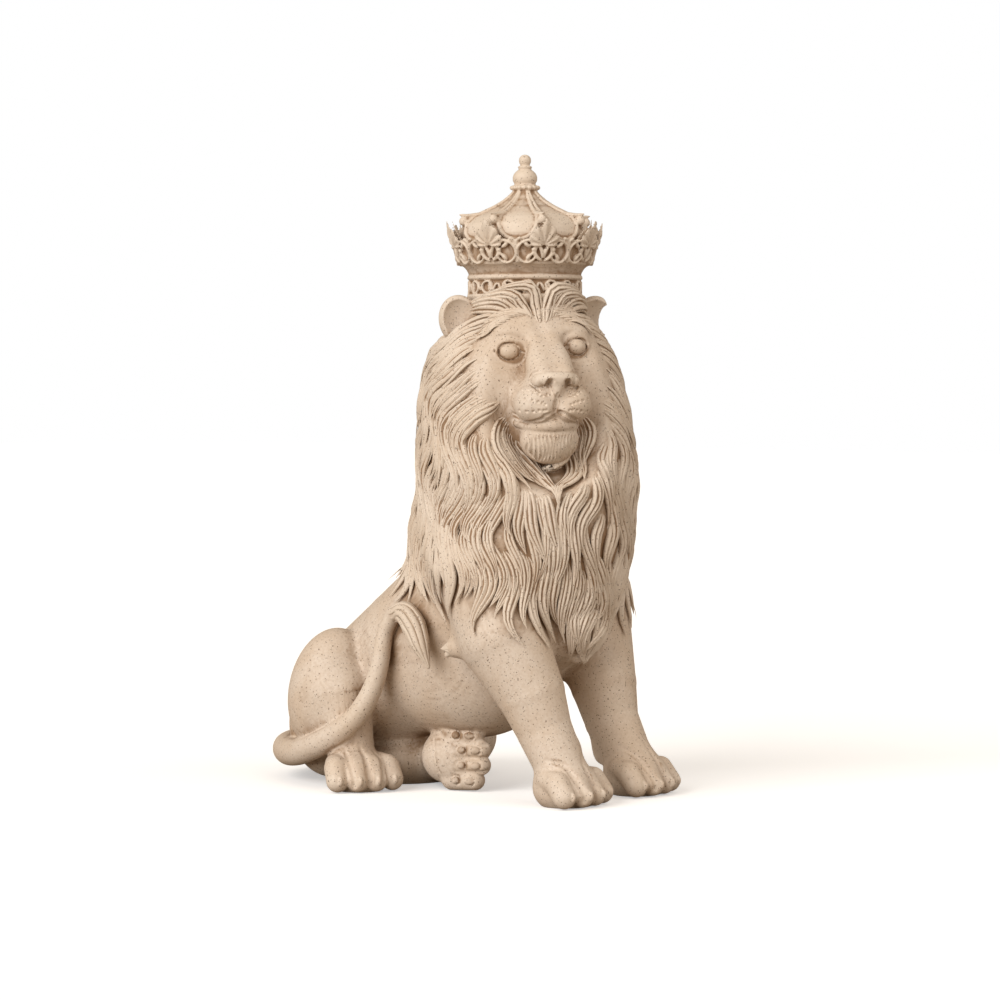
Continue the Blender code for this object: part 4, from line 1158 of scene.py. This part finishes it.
def crown_body():
    """The turned core of the crown: band, wall, dome, collar and knob."""
    band = BAND_RADIUS - 0.5
    outline = [(0, 203), (band - 1, 203), (band + 1.6, 209.6), (band + 1.9, 210.3), (band + 1.6, 210.9),
               (band, 211.3)]
    outline += [(band, 216.6), (band + 0.9, 217.0), (band + 1.7, 217.6), (band + 1.7, 218.5),
                (band + 1.1, 219.1)]
    outline += [(band + 1.3, 220.0), (band + 2.2, 221.6), (26.0, 222.8), (27.0, 223.2), (27.3, 223.9),
                (27.4, 225)]
    outline += [(29.4, 232.4), (29.2, 233.1), (28.4, 233.2), (27.2, 232.4)] + DOME
    outline += [(5.0, 254.9), (5.5, 255.3), (5.5, 256.6), (4.6, 257.2), (4.3, 257.5), (5.15, 259.0),
                (5.2, 260.6)]
    outline += [(4.6, 262.0), (3.4, 263.2), (2.3, 263.9), (2.5, 264.1), (3.0, 264.4), (3.0, 264.9),
                (2.4, 265.2)]
    outline += [(1.7, 265.4), (2.3, 266.1), (2.6, 267.1), (2.5, 268.4), (1.7, 269.5), (0.7, 269.95),
                (0, 270)]
    bm = bmesh.new()
    profile = [bm.verts.new((r, 0, z)) for r, z in outline]
    edges = [bm.edges.new(pair) for pair in zip(profile, profile[1:])]
    bmesh.ops.spin(bm, geom=profile + edges, cent=(0, 0, 0), axis=(0, 0, 1), angle=2 * math.pi, steps=144)
    bmesh.ops.remove_doubles(bm, verts=bm.verts, dist=1e-3)
    bmesh.ops.recalc_face_normals(bm, faces=bm.faces)
    return bm


def ornament(name, bm):
    """A built mesh in crown millimetres as an object in metres, still on the crown's own axis."""
    bmesh.ops.scale(bm, vec=(FIGURE, FIGURE, FIGURE), verts=bm.verts)
    mesh = bpy.data.meshes.new(name)
    bm.to_mesh(mesh)
    bm.free()
    obj = bpy.data.objects.new(name, mesh)
    bpy.context.scene.collection.objects.link(obj)
    return obj


def crown(ring, resin):
    """The crown as one skin: the turned core with its ornament repeated round it."""
    sector = ring.run(ornament("crown_ornament", crown_sector()), Count=CROWN_LEAVES, Start=0.0,
                      Material=resin)
    beads = bmesh.new()
    bead(beads, (0, -5.5, 256.0), 1.0)
    collar = ring.run(ornament("crown_beads", beads), Count=COLLAR_BEADS, Start=0.1, Material=resin)
    piece = ornament("lion_crown", crown_body())
    whole = bmesh.new()
    for part in (piece, sector, collar):
        whole.from_mesh(part.data)
    whole.to_mesh(piece.data)
    whole.free()
    for part in (sector, collar):
        bpy.data.objects.remove(part)
    fuse = piece.modifiers.new("Fuse", "REMESH")
    fuse.mode = "VOXEL"
    fuse.voxel_size = CROWN_GRAIN * FIGURE
    soften = piece.modifiers.new("Soften", "SMOOTH")
    soften.factor = 0.5
    soften.iterations = 2
    apply_modifiers(piece)
    reduce_to(piece, CROWN_TRIANGLES)
    points = read_vectors(piece.data.vertices, "co") @ turn_z(HEAD_TURN).T + NECK * FIGURE + OFFSET
    piece.data.vertices.foreach_set("co", points.ravel())
    piece.data.update()
    return piece


def figure(grain, with_face):
    """The lion without its locks, its ears and its crown, and with or without its face."""
    clay = Clay(BODY_LOW, BODY_HIGH, grain)
    body(clay)
    hind_legs(clay)
    mane_form(clay)
    front_legs(clay)
    if with_face:
        face(clay)
    folded_foot(clay)
    paw(clay, (-25, -85, 0), 0)
    paw(clay, (25, -84, 0), 3)
    paw(clay, (-35, 17, 0), -32, width=31.0)
    tail(clay)
    clay.level(0.0)
    return clay


def resin_material():
    """Sand-coloured cast resin: a mottled beige with dark specks, a brown wash with painted shade in the
    hollows and where parts crowd, and painted light on open ridges.
    """
    material = bpy.data.materials.new("cast_resin")
    material.use_nodes = True
    tree = material.node_tree
    shader = tree.nodes["Principled BSDF"]

    def node(kind, *values, **settings):
        new = tree.nodes.new(kind)
        for key, value in settings.items():
            setattr(new, key, value)
        for socket, value in zip(new.inputs, values):
            if isinstance(value, bpy.types.NodeSocket):
                tree.links.new(value, socket)
            elif value is not None:
                socket.default_value = value
        return new

    def blend(factor, a, b, mode="MIX"):
        new = node("ShaderNodeMix", data_type="RGBA", blend_type=mode)
        for name, value in (("Factor_Float", factor), ("A_Color", a), ("B_Color", b)):
            socket = next(s for s in new.inputs if s.identifier == name)
            if isinstance(value, bpy.types.NodeSocket):
                tree.links.new(value, socket)
            else:
                socket.default_value = value
        return next(s for s in new.outputs if s.identifier == "Result_Color")

    def ramp(value, low, high, start=0.0, end=1.0):
        new = node("ShaderNodeMapRange", value, low, high, start, end, interpolation_type="SMOOTHSTEP")
        return new.outputs[0]

    place = node("ShaderNodeTexCoord").outputs["Object"]
    cloud = node("ShaderNodeTexNoise", place, None, 38.0, 3.0, 0.6).outputs[0]
    grain = node("ShaderNodeTexNoise", place, None, 900.0, 2.0, 0.6).outputs[0]
    speck = node("ShaderNodeTexNoise", place, None, 1300.0, 1.0, 0.5).outputs[0]
    spot = node("ShaderNodeTexVoronoi", place, None, 480.0)
    spot_dark = ramp(spot.outputs["Distance"], 0.16, 0.08)
    rare = ramp(node("ShaderNodeTexNoise", place, None, 240.0, 1.0, 0.5).outputs[0], 0.44, 0.52)
    spots = node("ShaderNodeMath", spot_dark, rare, operation="MULTIPLY").outputs[0]
    specks = ramp(speck, 0.66, 0.72)
    wash_and_shade = node("ShaderNodeAttribute", attribute_name="wash_and_shade").outputs["Fac"]
    colour = blend(ramp(cloud, 0.35, 0.65), SAND_LIGHT, SAND_WARM)
    colour = blend(ramp(grain, 0.35, 0.7, 0.0, 0.35), colour, SAND_TAN)
    # Brown wash in the hollows, with painted shade where parts crowd
    colour = blend(ramp(wash_and_shade, 0.52, 0.84, 0.0, 0.92), colour, WASH_AND_SHADE_BROWN)
    # Paler resin and painted light on open, raised parts
    colour = blend(ramp(wash_and_shade, 0.46, 0.15, 0.0, 0.5), colour, PALE_AND_LIT_RIDGE)
    dark = node("ShaderNodeMath", specks, spots, operation="MAXIMUM").outputs[0]
    colour = blend(ramp(dark, 0.0, 1.0, 0.0, 0.8), colour, SPECK_BROWN)
    tree.links.new(colour, shader.inputs["Base Color"])
    tree.links.new(ramp(grain, 0.2, 0.8, 0.48, 0.66), shader.inputs["Roughness"])
    relief = node("ShaderNodeMath", grain, node("ShaderNodeMath", dark, -1.5,
                                                operation="MULTIPLY").outputs[0],
                  operation="ADD").outputs[0]
    bump = node("ShaderNodeBump")
    bump.inputs["Strength"].default_value = 0.35
    bump.inputs["Distance"].default_value = 0.00012
    tree.links.new(relief, bump.inputs["Height"])
    tree.links.new(bump.outputs[0], shader.inputs["Normal"])
    shader.inputs["Specular IOR Level"].default_value = 0.4
    return material


def soft_sun(name, toward, spread, strength, colour):
    """A far, broad light that comes from one way, so the floor stays even."""
    lamp = bpy.data.lights.new(name, "SUN")
    lamp.angle = math.radians(spread)
    lamp.energy = strength
    lamp.color = colour
    obj = bpy.data.objects.new(name, lamp)
    obj.rotation_mode = "QUATERNION"
    obj.rotation_quaternion = Vector(toward).to_track_quat("Z", "Y")
    bpy.context.scene.collection.objects.link(obj)


def studio():
    """A pale floor, soft lights and the camera at the photograph's viewing angle."""
    scene = bpy.context.scene
    bm = bmesh.new()
    bmesh.ops.create_grid(bm, x_segments=2, y_segments=2, size=FLOOR_SIZE)
    mesh = bpy.data.meshes.new("floor")
    bm.to_mesh(mesh)
    bm.free()
    floor = bpy.data.objects.new("floor", mesh)
    scene.collection.objects.link(floor)
    paper = bpy.data.materials.new("pale_paper")
    paper.use_nodes = True
    bright = paper.node_tree.nodes["Principled BSDF"]
    bright.inputs["Base Color"].default_value = FLOOR_WHITE
    bright.inputs["Roughness"].default_value = 0.9
    bright.inputs["Emission Color"].default_value = (1, 1, 1, 1)
    bright.inputs["Emission Strength"].default_value = FLOOR_GLOW
    dim = paper.node_tree.nodes.new("ShaderNodeBsdfDiffuse")
    dim.inputs["Color"].default_value = FLOOR_BOUNCE
    either = paper.node_tree.nodes.new("ShaderNodeMixShader")
    seen = paper.node_tree.nodes.new("ShaderNodeLightPath").outputs["Is Camera Ray"]
    paper.node_tree.links.new(seen, either.inputs[0])
    paper.node_tree.links.new(dim.outputs[0], either.inputs[1])
    paper.node_tree.links.new(bright.outputs[0], either.inputs[2])
    paper.node_tree.links.new(either.outputs[0], paper.node_tree.nodes["Material Output"].inputs["Surface"])
    mesh.materials.append(paper)

    world = bpy.data.worlds.new("studio")
    world.use_nodes = True
    sky = world.node_tree
    ambient = sky.nodes["Background"]
    ambient.inputs["Color"].default_value = AMBIENT_COLOUR
    ambient.inputs["Strength"].default_value = AMBIENT
    seen = sky.nodes.new("ShaderNodeBackground")
    seen.inputs["Color"].default_value = (1, 1, 1, 1)
    choose = sky.nodes.new("ShaderNodeMixShader")
    sky.links.new(sky.nodes.new("ShaderNodeLightPath").outputs["Is Camera Ray"], choose.inputs[0])
    sky.links.new(ambient.outputs[0], choose.inputs[1])
    sky.links.new(seen.outputs[0], choose.inputs[2])
    sky.links.new(choose.outputs[0], sky.nodes["World Output"].inputs["Surface"])
    scene.world = world
    soft_sun("key", *KEY_LIGHT)
    soft_sun("fill", *FILL_LIGHT)

    lens = bpy.data.cameras.new("camera")
    lens.sensor_width = SENSOR
    lens.lens = LENS
    lens.clip_start = 0.01
    camera = bpy.data.objects.new("camera", lens)
    camera.location = Vector(CAMERA_PLACE + OFFSET)
    camera.rotation_mode = "QUATERNION"
    camera.rotation_quaternion = Vector(CAMERA_AIM).to_track_quat("-Z", "Y")
    scene.collection.objects.link(camera)
    scene.camera = camera
    scene.view_settings.view_transform = "Standard"


def dress(piece, resin):
    """Finishes a piece: its resin with its brown wash and painted shade, smooth shading, and its place in
    the frame's tables.
    """
    piece.data.materials.clear()
    piece.data.materials.append(resin)
    for polygon in piece.data.polygons:
        polygon.use_smooth = True
    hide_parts("lion")
    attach(piece, "root")


def main():
    resin = resin_material()
    whole = figure(GUIDE_GRAIN, with_face=True)
    whole.add(Bar([(0, -46.6, 200), (0, -46.6, 216)], [23.6, 23.6]), blend=2)
    rng = np.random.default_rng(ROOT_SEED)
    roots = lock_roots(whole, rng, LOCK_ROWS, LOCK_SPACING)
    locks = mane_guides(whole, LOCK_SEED, roots, LOCK_STATIONS, LOCK_LENGTHS, LOCK_HALF_WIDTHS, *LOCK_RISE)
    high = roots[:, 2] > MANE_MIDDLE
    roots = lock_roots(whole, rng, STRAND_ROWS, STRAND_SPACING)
    roots = roots[(roots[:, 2] > CHEEK_LEVEL) | (HEAD.local(roots)[:, 1] < CHEEK_FRONT)]
    fine = mane_guides(whole, STRAND_SEED, roots, STRAND_STATIONS, STRAND_LENGTHS, STRAND_HALF_WIDTHS,
                       *STRAND_RISE)
    tail_tuft = tuft_guides(TUFT, TUFT_RADII, 6, 3.6, np.array(VIEWER))
    upper = guide_object("lion_mane_upper", [part_of(locks, high), brow_guides(whole)])
    lower = guide_object("lion_mane_lower", [part_of(locks, ~high), bib_guides(whole)])
    wisps = guide_object("lion_mane_strands", [fine, elbow_guides(-1), elbow_guides(1), tail_tuft])
    sweep = strand_tree()
    for hair in (upper, lower):
        sweep.run(hair, Profile_Points=17, Thickness=0.52, Ridges=3.0, Ridge_Depth=0.42, Material=resin)
    sweep.run(wisps, Profile_Points=8, Thickness=0.62, Ridges=0.0, Ridge_Depth=0.0, Material=resin)
    torso = figure(BODY_GRAIN, with_face=False)
    torso.leave(HEAD_ROOM, margin=2.0)
    torso = torso.piece("lion_body", BODY_TRIANGLES)
    clay = Clay(HEAD_LOW, HEAD_HIGH, HEAD_GRAIN)
    mane_form(clay)
    face(clay)
    clay.keep(HEAD_ROOM)
    ears(clay)
    head = clay.piece("lion_head", HEAD_TRIANGLES)
    crest = crown(ring_tree(), resin)
    pieces = (torso, head, upper, lower, wisps, crest)
    # How crowded each place is, for painted shade in crowded places and painted light in open ones
    near = crowding_for_shade(pieces, *NEAR_SHADE_CELLS)
    wide = crowding_for_shade(pieces, *WIDE_SHADE_CELLS)
    for piece in pieces:
        mark_wash_and_shade(piece, near, wide, *WASH_AND_SHADE[piece.name])
        dress(piece, resin)
    studio()


main()
